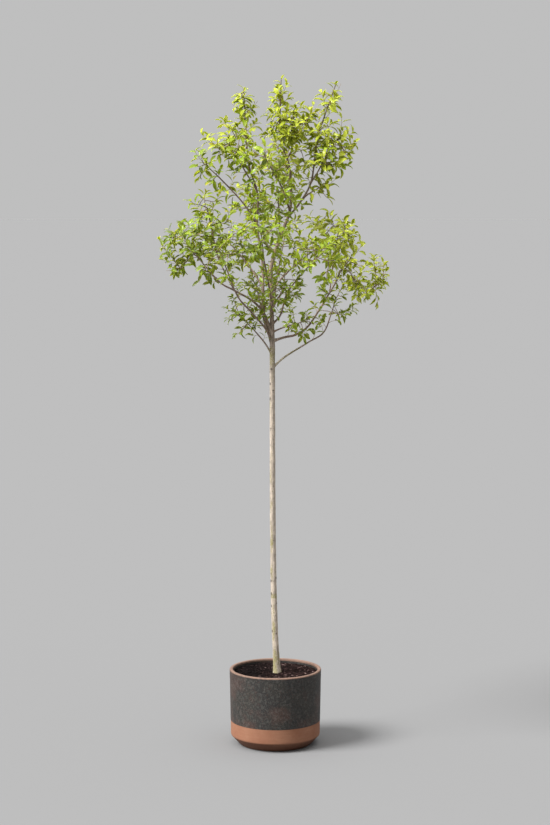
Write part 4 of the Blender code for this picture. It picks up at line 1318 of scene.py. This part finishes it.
def leaf_points(leaves, rng):
    """Points of many leaves at once, in rows of one leaf each, and their midrib marks."""
    count = len(leaves)
    root, along, face = (np.array([leaf[i] for leaf in leaves]) for i in (1, 2, 3))
    length, curl = (np.array([leaf[i] for leaf in leaves])[:, None] for i in (4, 5))
    across = np.cross(along, face)
    half = length * rng.uniform(*LEAF_WIDTH_SHARE, (count, 1)) * 0.5
    fold = rng.uniform(*LEAF_FOLD, (count, 1))
    wave = rng.uniform(-LEAF_WAVE, LEAF_WAVE, (count, 1))
    twist = rng.uniform(-LEAF_TWIST, LEAF_TWIST, (count, 1))
    phase = rng.uniform(0.0, math.tau, (count, 1))
    blade = length * (1.0 - STALK_SHARE)
    spot = root + along * length * STALK_SHARE
    rows = [spot, None]
    marks = [1.0, 1.0]
    for before, station, width in zip(BLADE_STATIONS, BLADE_STATIONS[1:], BLADE_WIDTHS[1:]):
        bend = curl * station ** CURL_POWER
        tangent = along * np.cos(bend) - face * np.sin(bend)
        normal = face * np.cos(bend) + along * np.sin(bend)
        spot = spot + tangent * blade * (station - before)
        aside = across * np.cos(twist * station) + normal * np.sin(twist * station)
        lifted = normal * np.cos(twist * station) - across * np.sin(twist * station)
        if width == 0.0:
            rows[1] = spot
        else:
            for side in (-1.0, 1.0):
                tilt = fold + wave * np.sin(phase + side + WAVE_TURNS * station)
                rows.append(spot + half * width * (aside * side * np.cos(tilt) + lifted * np.sin(tilt)))
                marks.append(0.0)
            rows += [spot, spot - lifted * LEAF_THICKNESS]
            marks += [1.0, 1.0]
    for centre in (root, root + along * length * (STALK_SHARE + STALK_OVERLAP)):
        for i in range(3):
            angle = math.tau * i / 3
            ring = across * math.cos(angle) + face * math.sin(angle)
            rows.append(centre + ring * STALK_RADIUS)
            marks.append(1.0)
    return np.stack(rows, axis=1), np.array(marks)


# Leaf tint: one leaf differs from the next, and a blade from place to place
leaf_tint, given, puts = new_group("leaf_tint", ["Own"], ["Share", "Gloss"])
blotch = use_group(leaf_tint, mottling, given["Place"], Scale=28.0, Contrast=1.8)
half_own = sums(leaf_tint, "MULTIPLY", given["Own"], 0.65)
tint = sums(leaf_tint, "MULTIPLY_ADD", blotch["Cloud"], 0.35, half_own, use_clamp=True)
leaf_tint.links.new(tint, puts["Share"])
leaf_tint.links.new(blotch["Fine"], puts["Gloss"])


def leaf_finish(name, dark, pale, roughness, coat):
    """A blade's upper side or underside: its own tint, a pale midrib, a waxy sheen, and light
    that comes through it."""
    made, tree, place = new_finish(name)
    own, midrib = marks_on(tree, ("own", "midrib"))
    tint = use_group(tree, leaf_tint, place, Own=own)
    colour = blend(tree, tint["Share"], dark, pale)
    colour = painted(tree, colour, ((midrib, 0.84, 0.98, 0.0, 0.6, VEIN_PALE),))
    fixed = (("Coat Weight", coat),) + LEAF_FLESH
    return finished(made, colour, spread(tree, tint["Gloss"], 0.0, 1.0, *roughness), tint["Gloss"],
                    0.0006, 0.35, fixed)


def slot_of(height):
    """The height group, which names the pieces, for leaves of a mass at a height."""
    return next(name for name, limit in HEIGHT_SLOTS if height < limit)


leaves = {}
for name, mass in masses.items():
    rng = random.Random(f"{name} leaves {SEED}")
    for points, order in sorted(shoots[name], key=lambda shoot: -shoot[1]):
        for leaf in leaves_on_shoot(mass, points, order, rng):
            leaves.setdefault((slot_of(mass.centre.z), leaf[0]), []).append(leaf)

upper_faces, under_faces = leaf_faces()
pattern = np.array(upper_faces + under_faces)
pattern_kinds = [0] * len(upper_faces) + [1] * len(under_faces)
leaf_finishes = {}
for tone, colours in TONES.items():
    paler = [tuple((own + under) / 2 for own, under in zip(colour, UNDERSIDE)) for colour in colours]
    leaf_finishes[tone] = [leaf_finish(f"leaf_{tone}", *colours, *LEAF_SHEEN),
                           leaf_finish(f"leaf_{tone}_underside", *paler, *UNDERSIDE_SHEEN)]
leaf_pieces = {}
for (slot, tone), group in sorted(leaves.items()):
    blades, marks = leaf_points(group, np.random.default_rng(len(group)))
    inside_box = ((blades > np.array(cad_low)) & (blades < np.array(cad_high))).all(axis=(1, 2))
    blades = blades[inside_box]
    count, points_each = blades.shape[:2]
    faces = (pattern[None] + (np.arange(count) * points_each)[:, None, None]).reshape(-1, 3)
    piece = add_piece(f"{slot}_{tone}", blades.reshape(-1, 3), faces.tolist(), leaf_finishes[tone],
                      pattern_kinds * count)
    own = np.repeat(np.array([leaf[6] for leaf in group])[inside_box], points_each)
    set_marks(piece, {"own": own, "midrib": np.tile(marks, count)})
    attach(piece, "root")
    leaf_pieces.setdefault(slot, []).append(piece)
for name, mass in masses.items():
    for piece in leaf_pieces[slot_of(mass.centre.z)] + shoot_pieces:
        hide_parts(name + "_foliage")


# Floor, light and camera ------------------------------------------------------------------
# The pot stands on a plain pale floor under a sky that is lightest overhead, with a broad soft
# light high on the left. The floor and the backdrop look equally light, so no horizon shows.

FLOOR_REACH = 400.0
SKY_LOW = 0.05
SKY_HIGH = 2.50
BACKDROP_LIGHT = 0.52
SUN_LIGHT = 2.05
SUN_HEIGHT = math.radians(46)
SUN_TURN = math.radians(-66)
SUN_SOFTNESS = math.radians(26)
SKY_ON_FLOOR = SKY_LOW + (SKY_HIGH - SKY_LOW) / 2
FLOOR_SHARE = BACKDROP_LIGHT / (SKY_ON_FLOOR + SUN_LIGHT * math.sin(SUN_HEIGHT))
CAMERA_PLACE = (-0.003, -16.0, 4.338)
CAMERA_PITCH = math.radians(-6.0)
LENS = 89.06
SENSOR = 36.0
FARTHEST_SEEN = 500.0

floor_finish = bpy.data.materials.new("pale_floor")
floor_finish.use_nodes = True
floor_shader = floor_finish.node_tree.nodes["Principled BSDF"]
floor_shader.inputs["Base Color"].default_value = (FLOOR_SHARE, FLOOR_SHARE, FLOOR_SHARE, 1.0)
floor_shader.inputs["Roughness"].default_value = 1.0
floor_shader.inputs["Specular IOR Level"].default_value = 0.0
floor_corners = [(x * FLOOR_REACH, y * FLOOR_REACH, 0.0) for x, y in ((-1, -1), (1, -1), (1, 1), (-1, 1))]
floor = add_piece("floor", floor_corners, [(0, 1, 2, 3)], [floor_finish])

sky = bpy.data.worlds.new("soft_sky")
sky.use_nodes = True
tree = sky.node_tree
seen = add_node(tree, "ShaderNodeLightPath").outputs["Is Camera Ray"]
way_up = add_node(tree, "ShaderNodeTexCoord").outputs["Generated"]
height = add_node(tree, "ShaderNodeSeparateXYZ", {0: way_up}).outputs[2]
dome = spread(tree, sums(tree, "POWER", height, 2.0), 0.0, 1.0, SKY_LOW, SKY_HIGH)
strength = add_node(tree, "ShaderNodeMix", {0: seen, 2: dome, 3: BACKDROP_LIGHT}).outputs[0]
tree.nodes["Background"].inputs["Color"].default_value = (1.0, 1.0, 1.0, 1.0)
tree.links.new(strength, tree.nodes["Background"].inputs["Strength"])
bpy.context.scene.world = sky

sun_light = bpy.data.lights.new("soft_sun", "SUN")
sun_light.energy = math.pi * SUN_LIGHT
sun_light.angle = SUN_SOFTNESS
add_object("soft_sun", sun_light).rotation_euler = (math.pi / 2 - SUN_HEIGHT, 0.0, SUN_TURN)

camera_data = bpy.data.cameras.new("camera")
camera_data.lens = LENS
camera_data.sensor_width = SENSOR
camera_data.clip_end = FARTHEST_SEEN
camera = add_object("camera", camera_data)
camera.location = CAMERA_PLACE
camera.rotation_euler = (math.pi / 2 + CAMERA_PITCH, 0.0, 0.0)
bpy.context.scene.camera = camera
bpy.context.scene.view_settings.view_transform = "Standard"
